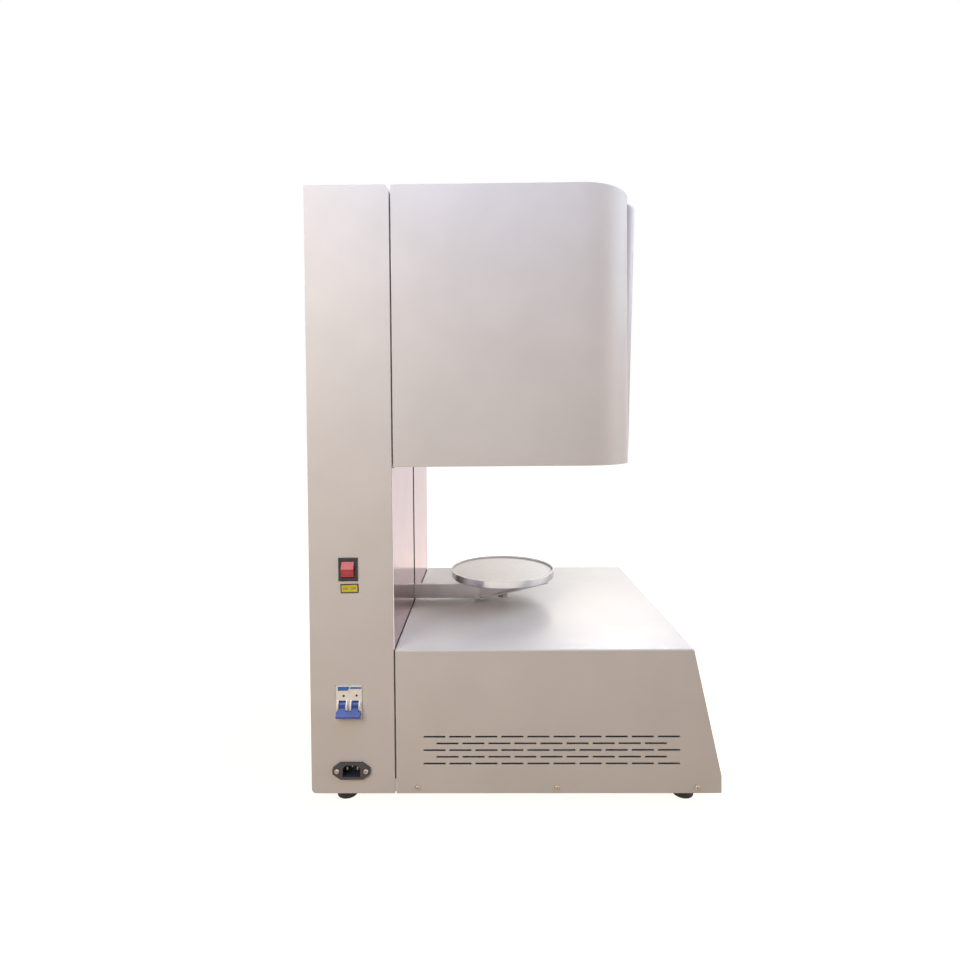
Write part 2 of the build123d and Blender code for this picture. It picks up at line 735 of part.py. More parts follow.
def head_shell():
    """Wrapped side wall of the head, open towards the column and behind the screen."""
    outline = head_outline()
    shell = along_z(outline, (Z_HEAD, Z_TOP)) - along_z(inset(outline, SHEET), (Z_HEAD, Z_TOP))
    inside = X_SIDE - SHEET
    behind = (Y_REAR_EDGE - 2 * SHEET, Y_REAR_EDGE + SHEET)
    rim = HEAD_RIM + FIT
    shell -= block(both(inside - RETURN_FLANGE), behind, (Z_HEAD - SHEET, Z_TOP + SHEET))
    shell -= block(both(SCREEN_WIDTH / 2 + FASCIA_EDGE), (Y_HEAD - SHEET, Y_HEAD + 2 * SHEET),
                   around(screen_height(), SCREEN_HEIGHT + 2 * FASCIA_EDGE))
    notch = Polygon((Y_REAR_EDGE, Z_TOP), (Y_REAR_EDGE - SHEET, Z_TOP), (Y_REAR_EDGE, Z_TOP - rim / 2))
    return shell - along_x(notch, both(X_SIDE))


def head_plate(z, rim_z):
    """Plate inside the wrapped wall with a rim, both following the wall's outline."""
    outline = inset(head_outline(), SHEET)
    plate = along_z(outline, rim_z)
    hollow = (rim_z[0], z[0]) if z[1] == rim_z[1] else (z[1], rim_z[1])
    return plate - along_z(inset(outline, SHEET), hollow)


def head_bottom_plate():
    """Underside of the head with the chamber's mouth."""
    plate = head_plate((Z_HEAD, Z_SEAL), (Z_HEAD, Z_HEAD + HEAD_RIM))
    plate -= rod_z(MOUTH_RADIUS, 0, Y_TRAY, (Z_HEAD, Z_SEAL))
    return plate - block(both(X_SIDE - SHEET - RETURN_FLANGE), (Y_REAR_EDGE - 3 * SHEET, Y_REAR_EDGE),
                         (Z_SEAL, Z_HEAD + HEAD_RIM))


def head_top_plate():
    """Top cover of the head with vent slots over the chamber."""
    plate = head_plate((Z_TOP - SHEET, Z_TOP), (Z_TOP - HEAD_RIM, Z_TOP))
    for step in range(TOP_VENTS):
        y = Y_TRAY + (step - (TOP_VENTS - 1) / 2) * TOP_VENT_PITCH
        for side in (-1, 1):
            plate -= block(around(side * TOP_VENT_SPREAD / 2, TOP_VENT_LENGTH), around(y, TOP_VENT_WIDTH),
                           (Z_TOP - SHEET, Z_TOP))
    return plate


# Front fascia and screen

def fascia_range():
    """Lower and upper end of the fascia."""
    return Z_HEAD + FASCIA_BOTTOM, Z_TOP - FASCIA_TOP


def fascia_plane(z):
    """Plane on the fascia's leaning face at a height, looking outwards."""
    low, high = fascia_range()
    lean = atan2(FASCIA_HEAD_DEPTH - FASCIA_FOOT_DEPTH, high - low)
    share = (z - low) / (high - low)
    depth = FASCIA_FOOT_DEPTH + share * (FASCIA_HEAD_DEPTH - FASCIA_FOOT_DEPTH)
    return Plane(origin=(0, Y_HEAD - depth, z), x_dir=(1, 0, 0), z_dir=(0, -cos(lean), -sin(lean)))


def head_fascia():
    """Shallow wedge-shaped cover on the head's front, with an opening for the screen."""
    low, high = fascia_range()
    outline = Polygon(
        (Y_HEAD, low),
        (Y_HEAD, high),
        (Y_HEAD - FASCIA_HEAD_DEPTH, high),
        (Y_HEAD - FASCIA_FOOT_DEPTH, low),
    )
    cover = along_x(outline, both(FASCIA_WIDTH / 2))
    edges = cover.edges().filter_by(lambda edge: edge.center().Y < Y_HEAD - FASCIA_FOOT_DEPTH - FIT)
    uprights = [edge for edge in edges if abs(abs(edge.center().X) - FASCIA_WIDTH / 2) < FIT
                and edge.length > FASCIA_HEAD_DEPTH * 2]
    cover = fillet(uprights, BEND_RADIUS)
    cover = fillet(edge_near(cover, Axis.X, (0, Y_HEAD - FASCIA_HEAD_DEPTH, high)), FASCIA_ROUND)
    cover -= along_x(inset(outline, SHEET), both(FASCIA_WIDTH / 2 - SHEET))
    back = (low + 2 * SHEET, high - 2 * SHEET)
    cover -= block(both(FASCIA_WIDTH / 2 - 2 * SHEET), (Y_HEAD - SHEET, Y_HEAD + SHEET), back)
    plane = fascia_plane(screen_height())
    return cover - plane * Box(SCREEN_WIDTH + 2 * FIT, SCREEN_HEIGHT + 2 * FIT, 2 * SCREEN_DEPTH)


def touch_screen():
    """Flat touch screen, flush with the fascia's face."""
    plane = fascia_plane(screen_height())
    return plane * Pos(0, 0, -SCREEN_DEPTH / 2) * Box(SCREEN_WIDTH, SCREEN_HEIGHT, SCREEN_DEPTH)


def screen_bezel():
    """Frame over the joint between the screen and the fascia."""
    plane = fascia_plane(screen_height())
    outer = RectangleRounded(SCREEN_WIDTH + 2 * BEZEL_BORDER, SCREEN_HEIGHT + 2 * BEZEL_BORDER, BEZEL_CORNER)
    inner = Rectangle(SCREEN_WIDTH - 2 * SCREEN_BORDER, SCREEN_HEIGHT - 2 * SCREEN_BORDER)
    return plane * extrude(outer - inner, amount=BEZEL_THICKNESS)


def display_board():
    """Circuit board on the back of the screen."""
    plane = fascia_plane(screen_height())
    size = (SCREEN_WIDTH - 2 * SCREEN_BORDER, SCREEN_HEIGHT - 2 * SCREEN_BORDER, DISPLAY_BOARD)
    return plane * Pos(0, 0, -SCREEN_DEPTH - DISPLAY_BOARD / 2) * Box(*size)


# Heating chamber

def element_places():
    """Centre and direction of each heating element's pair of legs, as angles in degrees."""
    return [360 / ELEMENTS * step for step in range(ELEMENTS)]


def leg_places():
    """The two leg positions of each element, going round the chamber."""
    places = []
    for angle in element_places():
        c, s = cos(radians(angle)), sin(radians(angle))
        for side in (-1, 1):
            across = side * ELEMENT_SPACING / 2
            places.append((ELEMENT_CIRCLE * c - across * s, Y_TRAY + ELEMENT_CIRCLE * s + across * c))
    return places


def chamber_can():
    """Steel jacket round the insulation, with a foot flange on the head's bottom plate."""
    can = ring(CAN_RADIUS + CAN_SHEET, CAN_RADIUS, 0, Y_TRAY, (Z_SEAL, Z_LID))
    return can + ring(CAN_RADIUS + CAN_FLANGE, CAN_RADIUS, 0, Y_TRAY, (Z_SEAL, Z_SEAL + CAN_SHEET))


def insulation_ring():
    """Wall of the chamber in ceramic fibre."""
    return ring(CAN_RADIUS, CHAMBER_RADIUS, 0, Y_TRAY, (Z_SEAL, Z_ROOF))


def drill_for_legs(piece, radius, z):
    """Holes for the element legs and the probe through a roof piece."""
    for x, y in leg_places():
        piece -= rod_z(radius, x, y, z)
    return piece


def insulation_roof():
    """Roof of the chamber in ceramic fibre, pierced by the element legs and the probe."""
    roof = drill_for_legs(rod_z(CAN_RADIUS, 0, Y_TRAY, (Z_ROOF, Z_LID)), COLD_RADIUS + FIT, (Z_ROOF, Z_LID))
    return roof - rod_z(PROBE_RADIUS + FIT, 0, Y_TRAY, (Z_ROOF, Z_LID))


def chamber_lid():
    """Steel lid on the can."""
    lid = rod_z(CAN_RADIUS + LID_OVERHANG, 0, Y_TRAY, (Z_LID, Z_LID_TOP))
    lid = drill_for_legs(lid, COLD_RADIUS + 2 * FIT, (Z_LID, Z_LID_TOP))
    return lid - rod_z(PROBE_RADIUS + FIT, 0, Y_TRAY, (Z_LID, Z_LID_TOP))


def mouth_trim():
    """Stainless ring round the chamber's mouth, under the head."""
    inner = TRAY_RADIUS + TRIM_CLEARANCE
    return ring(inner + TRIM_WIDTH, inner, 0, Y_TRAY, (Z_HEAD - TRIM_THICKNESS, Z_HEAD))


def heating_elements():
    """Hairpin elements: thick cold legs through the roof, thin hot loop in the chamber."""
    half = ELEMENT_SPACING / 2
    z_bend = Z_ROOF - HOT_LENGTH + half
    z_neck = Z_ROOF - COLD_ENTRY
    path = (Polyline((-half, 0, z_neck), (-half, 0, z_bend))
            + ThreePointArc((-half, 0, z_bend), (0, 0, z_bend - half), (half, 0, z_bend))
            + Polyline((half, 0, z_bend), (half, 0, z_neck)))
    section = Plane(origin=(-half, 0, z_neck), z_dir=(0, 0, -1)) * Circle(HOT_RADIUS)
    hairpin = sweep(section, path=path)
    for side in (-half, half):
        hairpin += rod_z(COLD_RADIUS, side, 0, (z_neck, Z_LID_TOP + TERMINAL_HEIGHT))
    solids = []
    for angle in element_places():
        spot = (ELEMENT_CIRCLE * cos(radians(angle)), Y_TRAY + ELEMENT_CIRCLE * sin(radians(angle)), 0)
        solids.append(Pos(*spot) * Rot(0, 0, angle + 90) * hairpin)
    return group(solids)


def element_holders():
    """Ceramic blocks on the lid that clamp each pair of legs."""
    z = (Z_LID_TOP, Z_LID_TOP + HOLDER_HEIGHT)
    half = ELEMENT_SPACING / 2
    holder = block(both(HOLDER_LENGTH / 2), both(HOLDER_WIDTH / 2), z)
    for side in (-half, half):
        holder -= rod_z(COLD_RADIUS + RUNNING, side, 0, z)
    solids = []
    for angle in element_places():
        spot = (ELEMENT_CIRCLE * cos(radians(angle)), Y_TRAY + ELEMENT_CIRCLE * sin(radians(angle)), 0)
        solids.append(Pos(*spot) * Rot(0, 0, angle + 90) * holder)
    return group(solids)


def element_straps():
    """Flat straps that join neighbouring legs, so that the elements are in series."""
    legs = leg_places()
    top = Z_LID_TOP + TERMINAL_HEIGHT - STRAP_DROP
    solids = []
    for step in range(ELEMENTS - 1):
        start, end = legs[2 * step + 1], legs[2 * step + 2]
        reach = hypot(end[0] - start[0], end[1] - start[1])
        turn = degrees(atan2(end[1] - start[1], end[0] - start[0]))
        middle = ((start[0] + end[0]) / 2, (start[1] + end[1]) / 2)
        shape = SlotCenterToCenter(reach, STRAP_WIDTH)
        for side in (-reach / 2, reach / 2):
            shape -= Pos(side, 0) * Circle(COLD_RADIUS + RUNNING)
        strap = along_z(shape, (0, STRAP_THICKNESS))
        solids.append(Pos(*middle, top) * Rot(0, 0, turn) * strap)
    return group(solids)


def thermocouple():
    """Sheathed probe through the roof, with its collar and connection head."""
    z = Z_LID_TOP
    probe = rod_z(PROBE_RADIUS, 0, Y_TRAY, (Z_ROOF - PROBE_DEPTH, z))
    probe += rod_z(PROBE_COLLAR_RADIUS, 0, Y_TRAY, (z, z + PROBE_COLLAR))
    return probe + rod_z(PROBE_HEAD_RADIUS, 0, Y_TRAY, (z + PROBE_COLLAR, z + PROBE_COLLAR + PROBE_HEAD))


# Loading tray and arm

def tray_dish():
    """Shallow dish of polished steel."""
    dish = rod_z(TRAY_RADIUS, 0, Y_TRAY, (Z_TRAY, Z_TRAY_TOP))
    dish = fillet(dish.edges().sort_by(Axis.Z)[0], TRAY_WALL)
    return dish - rod_z(TRAY_RADIUS - TRAY_WALL, 0, Y_TRAY, (Z_TRAY + TRAY_WALL, Z_TRAY_TOP))


def ceramic_board():
    """Round board of ceramic fibre that fills the dish."""
    return rod_z(TRAY_RADIUS - TRAY_WALL - FIT, 0, Y_TRAY, (Z_TRAY + TRAY_WALL, Z_TRAY_TOP - BOARD_DROP))


def bracket_bottom(y):
    """Height of the bracket's underside at a place along Y in its rising part."""
    return Z_ARM - ARM_HEIGHT / 2 + BRACKET_SLOPE * (Y_HEEL - y)


def bracket_outline():
    """Side view of the bracket: as deep as the arm at its root, with a bottom that rises to the tip."""
    top = Z_TRAY - SEAT_THICKNESS
    return Polygon(
        (Y_ROOT, top),
        (Y_ROOT, bracket_bottom(Y_HEEL)),
        (Y_HEEL, bracket_bottom(Y_HEEL)),
        (Y_TIP, bracket_bottom(Y_TIP)),
        (Y_TIP, top),
    )


def tray_bracket():
    """Bracket under the dish: end block, rising strip and top strip on a rib, and a round seat."""
    half, rib = BRACKET_WIDTH / 2, BRACKET_RIB / 2
    top = Z_TRAY - SEAT_THICKNESS
    outline = bracket_outline()
    pocket = inset(outline, BRACKET_STRIP)
    bracket = along_x(outline, both(half)) - along_x(pocket, (-half, -rib)) - along_x(pocket, (rib, half))
    bracket += block(both(half), (Y_ROOT - BRACKET_END, Y_ROOT), (bracket_bottom(Y_HEEL), top))
    bracket += rod_z(SEAT_RADIUS, 0, Y_TRAY, (top, Z_TRAY))
    z_hole = (bracket_bottom(Y_TRAY) - STUD_NUT_RADIUS, Z_TRAY)
    return bracket - rod_z(STUD_RADIUS + HOLE_PLAY, 0, Y_TRAY, z_hole)


def tray_stud():
    """Stud from the dish down through the bracket, with its nut below."""
    nut_top = bracket_bottom(Y_TRAY) - BRACKET_SLOPE * STUD_NUT_RADIUS - HOLE_PLAY
    nut_z = (nut_top - STUD_NUT_HEIGHT, nut_top)
    stud = rod_z(STUD_RADIUS, 0, Y_TRAY, (nut_z[0] - STUD_TIP, Z_TRAY))
    return stud + along_z(Pos(0, Y_TRAY) * RegularPolygon(STUD_NUT_RADIUS, 6), nut_z)


def arm_bolt_places():
    """Bolts of the arm's pad, as (x, z)."""
    x = ARM_PAD_WIDTH / 2 - ARM_BOLT_INSET
    z = ARM_PAD_HEIGHT / 2 - ARM_BOLT_INSET
    return [(sx * x, Z_ARM + sz * z) for sx in (-1, 1) for sz in (-1, 1)]


def arm_bar():
    """Flat bar through the slot, welded to a pad that is bolted to the carriage."""
    y_pad = (Y_CARRIAGE - ARM_PAD_THICKNESS, Y_CARRIAGE)
    arm = block(both(ARM_THICKNESS / 2), (Y_ROOT, y_pad[1]), around(Z_ARM, ARM_HEIGHT))
    arm += block(both(ARM_PAD_WIDTH / 2), y_pad, around(Z_ARM, ARM_PAD_HEIGHT))
    for x, z in arm_bolt_places():
        arm -= rod_y(ARM_BOLT_RADIUS + HOLE_PLAY, x, y_pad, z)
    return arm


def arm_bolts():
    """Socket head bolts that hold the arm's pad to the carriage."""
    head_y = Y_CARRIAGE - ARM_PAD_THICKNESS
    solids = []
    for x, z in arm_bolt_places():
        head = rod_y(ARM_BOLT_HEAD_RADIUS, x, (head_y - ARM_BOLT_HEAD_HEIGHT, head_y), z)
        solids.append(head + rod_y(ARM_BOLT_RADIUS, x, (head_y, head_y + ARM_BOLT_LENGTH), z))
    return group(solids)


# Lift in the column

def rod_places():
    """The two guide rods, left and right of the screw."""
    return (-ROD_SPACING / 2, ROD_SPACING / 2)


def lift_frame():
    """Channel that stands on the pan and carries the lift and the head."""
    half = FRAME_WIDTH / 2
    y = (Y_FRAME_FRONT, Y_WEB + FRAME_SHEET)
    frame = block(both(half), y, (Z_FLOOR, Z_FRAME_TOP))
    frame -= block(both(half - FRAME_SHEET), (y[0], Y_WEB), (Z_FLOOR + FRAME_SHEET, Z_FRAME_TOP))
    return frame


def end_plates():
    """Cross plates in the frame, bored for the screw's bearings and the guide rods."""
    z = (0, END_PLATE)
    plate = block(both(FRAME_WIDTH / 2 - FRAME_SHEET), (Y_LIFT - PLATE_FRONT, Y_WEB), z)
    plate -= rod_z(BEARING_RADIUS, 0, Y_LIFT, z)
    for x in rod_places():
        plate -= rod_z(ROD_RADIUS, x, Y_LIFT, z)
    return group([Pos(0, 0, low) * plate for low in (Z_LOWER_PLATE, Z_UPPER_PLATE)])


def screw_bearings():
    """Bearings of the lead screw in the two end plates."""
    return group([
        ring(BEARING_RADIUS, JOURNAL_RADIUS + RUNNING, 0, Y_LIFT, (z, z + END_PLATE))
        for z in (Z_LOWER_PLATE, Z_UPPER_PLATE)
    ])


def guide_rods():
    """Two ground rods held in the end plates."""
    z = (Z_LOWER_PLATE - ROD_STANDOUT, Z_UPPER_PLATE + END_PLATE + ROD_STANDOUT)
    return group([rod_z(ROD_RADIUS, x, Y_LIFT, z) for x in rod_places()])


def lead_screw():
    """Screw with turned journals; its thread is drawn plain."""
    z_low = Z_LOWER_PLATE + END_PLATE + FIT
    z_high = Z_UPPER_PLATE - FIT
    screw = rod_z(THREAD_RADIUS, 0, Y_LIFT, (z_low, z_high))
    screw += rod_z(JOURNAL_RADIUS, 0, Y_LIFT, (Z_COUPLING + COUPLING_LENGTH / 2, z_low))
    return screw + rod_z(JOURNAL_RADIUS, 0, Y_LIFT, (z_high, Z_UPPER_PLATE + END_PLATE + ROD_STANDOUT))


def motor_coupling():
    """Rigid coupling between the motor's shaft and the screw."""
    middle = Z_COUPLING + COUPLING_LENGTH / 2
    coupling = rod_z(COUPLING_RADIUS, 0, Y_LIFT, (Z_COUPLING, Z_COUPLING + COUPLING_LENGTH))
    coupling -= rod_z(MOTOR_SHAFT_RADIUS, 0, Y_LIFT, (Z_COUPLING, middle))
    return coupling - rod_z(JOURNAL_RADIUS, 0, Y_LIFT, (middle, Z_COUPLING + COUPLING_LENGTH))


def motor_shaft():
    """Output shaft of the motor."""
    return rod_z(MOTOR_SHAFT_RADIUS, 0, Y_LIFT, (Z_MOTOR - MOTOR_SHAFT_DEPTH + FIT,
                                                Z_COUPLING + COUPLING_LENGTH / 2))


def motor_plate():
    """Cross plate that the motor hangs from."""
    z = (Z_MOTOR, Z_MOTOR + MOTOR_PLATE)
    y = (Y_LIFT - MOTOR_SIZE / 2 - MOTOR_PLATE_EDGE, Y_WEB)
    plate = block(both(FRAME_WIDTH / 2 - FRAME_SHEET), y, z)
    return plate - rod_z(MOTOR_PILOT_RADIUS, 0, Y_LIFT, z)


def lift_motor():
    """Square motor under its plate, with the pilot that centres it."""
    body = Pos(0, Y_LIFT, 0) * along_z(RectangleRounded(MOTOR_SIZE, MOTOR_SIZE, MOTOR_CORNER),
                                       (Z_MOTOR - MOTOR_LENGTH, Z_MOTOR))
    body += rod_z(MOTOR_PILOT_RADIUS, 0, Y_LIFT, (Z_MOTOR, Z_MOTOR + MOTOR_PILOT))
    return body - rod_z(MOTOR_SHAFT_RADIUS + RUNNING, 0, Y_LIFT,
                        (Z_MOTOR - MOTOR_SHAFT_DEPTH, Z_MOTOR + MOTOR_PILOT))


def carriage():
    """Block that runs on the guide rods and holds the nut and the arm."""
    z = (Z_CARRIAGE, Z_CARRIAGE_TOP)
    body = block(both(CARRIAGE_WIDTH / 2), around(Y_LIFT, CARRIAGE_DEPTH), z)
    body = chamfer(body.edges().filter_by(Axis.Z), BEND_RADIUS)
    body -= rod_z(NUT_RADIUS, 0, Y_LIFT, z)
    for x in rod_places():
        body -= rod_z(BUSH_RADIUS, x, Y_LIFT, z)
    reach = (Y_CARRIAGE, Y_CARRIAGE - ARM_PAD_THICKNESS + ARM_BOLT_LENGTH)
    for x, height in arm_bolt_places():
        body -= rod_y(ARM_BOLT_RADIUS, x, reach, height)
    return body


def lead_nut():
    """Flanged nut in the carriage."""
    nut = rod_z(NUT_RADIUS, 0, Y_LIFT, (Z_CARRIAGE, Z_CARRIAGE_TOP))
    nut += rod_z(NUT_FLANGE_RADIUS, 0, Y_LIFT, (Z_CARRIAGE - NUT_FLANGE, Z_CARRIAGE))
    return nut - rod_z(THREAD_RADIUS + RUNNING, 0, Y_LIFT, (Z_CARRIAGE - NUT_FLANGE, Z_CARRIAGE_TOP))


def linear_bushes():
    """Bushes at both ends of the carriage, two on each rod."""
    ends = [(Z_CARRIAGE, Z_CARRIAGE + BUSH_LENGTH), (Z_CARRIAGE_TOP - BUSH_LENGTH, Z_CARRIAGE_TOP)]
    return group([ring(BUSH_RADIUS, ROD_RADIUS + RUNNING, x, Y_LIFT, z) for x in rod_places() for z in ends])


def position_sensors():
    """Forked sensors on the frame's side: one at the bottom of the travel, one at the top."""
    x_wall = -FRAME_WIDTH / 2 + FRAME_SHEET
    x = (x_wall, x_wall + SENSOR_LENGTH)
    solids = []
    for height in (Z_ARM, Z_ARM + LIFT_TRAVEL):
        z = around(height, SENSOR_HEIGHT)
        body = block(x, around(Y_LIFT, SENSOR_WIDTH), z)
        solids.append(body - block((x_wall + SENSOR_BACK, x[1]), around(Y_LIFT, SENSOR_SLOT), z))
    return group(solids)


def sensor_flag():
    """Thin flag on the carriage that passes through the sensors' forks."""
    x_end = -FRAME_WIDTH / 2 + FRAME_SHEET + SENSOR_BACK + FLAG_END_GAP
    return block((x_end, -CARRIAGE_WIDTH / 2), around(Y_LIFT, FLAG_THICKNESS), around(Z_ARM, FLAG_HEIGHT))


# Head support

def rail_x():
    """Inner and outer face of a head rail, clear of the can's flange."""
    inner = CAN_RADIUS + CAN_FLANGE + RAIL_GAP
    return inner, inner + RAIL_WIDTH


def head_frame():
    """Welded tubes: a beam across the column and two rails that carry the head."""
    y = (Y_FRAME_FRONT - BEAM_DEPTH, Y_FRAME_FRONT)
    z = (Z_BEAM, Z_BEAM + BEAM_HEIGHT)
    beam = block(both(rail_x()[1]), y, z)
    wall = RAIL_WALL
    beam -= block(both(rail_x()[1]), (y[0] + wall, y[1] - wall), (z[0] + wall, z[1] - wall))
    y = (y[0] - RAIL_LENGTH, y[0])
    z = (Z_SEAL, Z_SEAL + RAIL_HEIGHT)
    inner, outer = rail_x()
    for side in (-1, 1):
        tube = block((side * inner, side * outer), y, z)
        beam += tube - block((side * (inner + wall), side * (outer - wall)), y, (z[0] + wall, z[1] - wall))
    return beam


# Exhaust fan

def fan_frame():
    """Square frame of the exhaust fan, with its bore, struts and motor seat."""
    y = (Y_FAN, Y_FAN + FAN_DEPTH)
    z_fan = Z_CASE + FAN_HEIGHT
    frame = block(around(FAN_X, FAN_SIZE), y, around(z_fan, FAN_SIZE))
    frame = fillet(frame.edges().filter_by(Axis.Y), FAN_STRUT)
    frame -= rod_y(FAN_BORE_RADIUS, FAN_X, y, z_fan)
    seat_y = (y[0], y[0] + FAN_STRUT)
    seat = rod_y(FAN_HUB_RADIUS, FAN_X, seat_y, z_fan)
    seat += block(around(FAN_X, 2 * FAN_BORE_RADIUS), seat_y, around(z_fan, FAN_STRUT))
    seat += block(around(FAN_X, FAN_STRUT), seat_y, around(z_fan, 2 * FAN_BORE_RADIUS))
    axle = rod_y(FAN_AXLE_RADIUS, FAN_X, (y[0], y[1] - FAN_STRUT), z_fan)
    return frame + seat + axle


def fan_rotor():
    """Hub and twisted blades, turning on the frame's axle."""
    z_fan = Z_CASE + FAN_HEIGHT
    y_front = Y_FAN + FAN_STRUT + FIT
    y_end = Y_FAN + FAN_DEPTH - BEND_RADIUS
    depth = y_end - y_front
    blade = Rot(0, FAN_BLADE_TILT, 0) * Box(FAN_BLADE_THICKNESS, FAN_BLADE_RADIUS, FAN_BLADE_WIDTH)
    blades = [Rot(0, 0, 360 / FAN_BLADES * step) * Pos(0, FAN_BLADE_RADIUS / 2, 0) * blade
              for step in range(FAN_BLADES)]
    wheel = Cylinder(FAN_HUB_RADIUS, depth)
    for one in blades:
        wheel += one
    wheel &= Cylinder(FAN_BLADE_RADIUS, depth)
    bore = FAN_AXLE_RADIUS + RUNNING
    wheel -= Cylinder(bore, depth)
    return Pos(FAN_X, (y_front + y_end) / 2, z_fan) * Rot(90, 0, 0) * wheel


# Switch, breaker and inlet on the left side

def switch_bezel():
    """Snap-in frame and body of the rocker switch."""
    y, z = Y_BACK - SWITCH_BACK, Z_CASE + SWITCH_HEIGHT
    bezel = block((-X_SIDE - SWITCH_LIP, -X_SIDE), around(y, SWITCH_WIDTH), around(z, SWITCH_TALL))
    bezel = chamfer(bezel.faces().sort_by(Axis.X)[0].edges(), SWITCH_LIP / 2)
    bezel += block((-X_SIDE, -X_SIDE + SWITCH_DEPTH), around(y, SWITCH_BODY_WIDTH),
                   around(z, SWITCH_BODY_TALL))
    hole_tall = 2 * (ROCKER_RADIUS + FIT)
    deep = (-X_SIDE - SWITCH_LIP, -X_SIDE + SWITCH_DEPTH - SWITCH_WALL)
    return bezel - block(deep, around(y, ROCKER_WIDTH + 2 * FIT), around(z, hole_tall))


def rocker_outline(depth):
    """Side view of the rocker round its pivot: a low roof whose ends lie on a barrel."""
    ridge = -ROCKER_PIVOT_DEPTH - ROCKER_RIDGE + depth
    edge = -ROCKER_PIVOT_DEPTH - ROCKER_EDGE + depth
    outline = Polygon(
        (ridge, 0),
        (edge, ROCKER_RADIUS + FIT),
        (ROCKER_HUB, ROCKER_RADIUS + FIT),
        (ROCKER_HUB, -ROCKER_RADIUS - FIT),
        (edge, -ROCKER_RADIUS - FIT),
    )
    return make_face((outline & Circle(ROCKER_RADIUS)).edges())


def rocker_button():
    """Rocker with a finger recess in its lower slope, top pressed in at rest."""
    y, z = Y_BACK - SWITCH_BACK, Z_CASE + SWITCH_HEIGHT
    pivot_x = -X_SIDE - SWITCH_LIP + ROCKER_PIVOT_DEPTH
    half = ROCKER_WIDTH / 2
    button = along_y(rocker_outline(0), both(half))
    low_half = block((-2 * ROCKER_RADIUS, ROCKER_HUB), both(half - ROCKER_BORDER),
                     (-ROCKER_RADIUS + ROCKER_BORDER, -ROCKER_BORDER / 2))
    button -= low_half - along_y(rocker_outline(ROCKER_RECESS), both(half))
    return Pos(pivot_x, y, z) * Rot(0, ROCKER_TILT, 0) * button


def breaker_x():
    """Face of the breaker's nose and its back on the rail."""
    return -X_SIDE - NOSE_PROUD, -X_SIDE - NOSE_PROUD + BREAKER_DEPTH


def lever_pivot():
    """Pivot of the breaker's handle, as (x, z)."""
    return breaker_x()[0] + LEVER_PIVOT_DEPTH, Z_CASE + BREAKER_HEIGHT - LEVER_PIVOT_DROP


def leg_offsets():
    """Middles of the handle's two legs, from the breaker's middle."""
    shift = BREAKER_WIDTH / 4
    return (-shift, shift)


def leg_reach(angle):
    """How far from the pivot, along the face, a leg leaves the nose at an angle from level."""
    half, turn = LEVER_THICKNESS / 2, radians(angle)
    return (LEVER_PIVOT_DEPTH + half * sin(turn)) * sin(turn) / cos(turn) + half * cos(turn) + FIT


def breaker_body():
    """Two-pole breaker: nose in the window, shoulders behind, foot on the rail."""
    face, back = breaker_x()
    z = Z_CASE + BREAKER_HEIGHT
    nose, tall = NOSE_HEIGHT / 2, BREAKER_TALL / 2
    step = face + NOSE_DEPTH
    slot = DIN_RAIL_HEIGHT / 2 + FIT
    outline = Polygon(
        (face, z - nose),
        (face, z + nose),
        (step, z + nose),
        (step, z + tall),
        (back - BREAKER_SHOULDER, z + tall),
        (back, z + slot + BREAKER_SHOULDER),
        (back, z + slot),
        (back - DIN_RAIL_SHEET - FIT, z + slot),
        (back - DIN_RAIL_SHEET - FIT, z - slot),
        (back, z - slot),
        (back, z - slot - BREAKER_SHOULDER),
        (back - BREAKER_SHOULDER, z - tall),
        (step, z - tall),
        (step, z - nose),
    )
    y = Y_BACK - BREAKER_BACK
    body = along_y(outline, around(y, BREAKER_WIDTH))
    x_pivot, z_pivot = lever_pivot()
    slot_z = (z_pivot - leg_reach(LEVER_DROP_ANGLE), z_pivot + leg_reach(LEVER_TRAVEL - LEVER_DROP_ANGLE))
    for shift in leg_offsets():
        slot_y = around(y + shift, LEVER_LEG + 2 * FIT)
        for y_cheek in around(y + shift, LEVER_LEG + 2 * FIT + CHEEK_WALL):
            body += rod_y(CHEEK_RADIUS, x_pivot, around(y_cheek, CHEEK_WALL), z_pivot)
        body -= rod_y(LEVER_HUB_RADIUS + FIT, x_pivot, slot_y, z_pivot)
        body -= block((face, x_pivot), slot_y, slot_z)
    seam = block((face, face + FIT), around(y, FIT), (z - nose, z + nose))
    return body - seam


def breaker_handle():
    """Blue handle: two legs on hubs, joined by a bridge, drawn level and turned to its rest."""
    x_pivot, z_pivot = lever_pivot()
    y = Y_BACK - BREAKER_BACK
    thick = both(LEVER_THICKNESS / 2)
    inner = CHEEK_RADIUS + 2 * HOLE_PLAY
    handle = block((-LEVER_LENGTH, -inner), both(HANDLE_WIDTH / 2), thick)
    handle = fillet(handle.edges().filter_by(Axis.Y), LEVER_ROUND)
    for shift in leg_offsets():
        handle += rod_y(LEVER_HUB_RADIUS, 0, around(shift, LEVER_LEG), 0)
        handle += block((-(LEVER_LENGTH + inner) / 2, 0), around(shift, LEVER_LEG), thick)
    return Pos(x_pivot, y, z_pivot) * Rot(0, -LEVER_DROP_ANGLE, 0) * handle


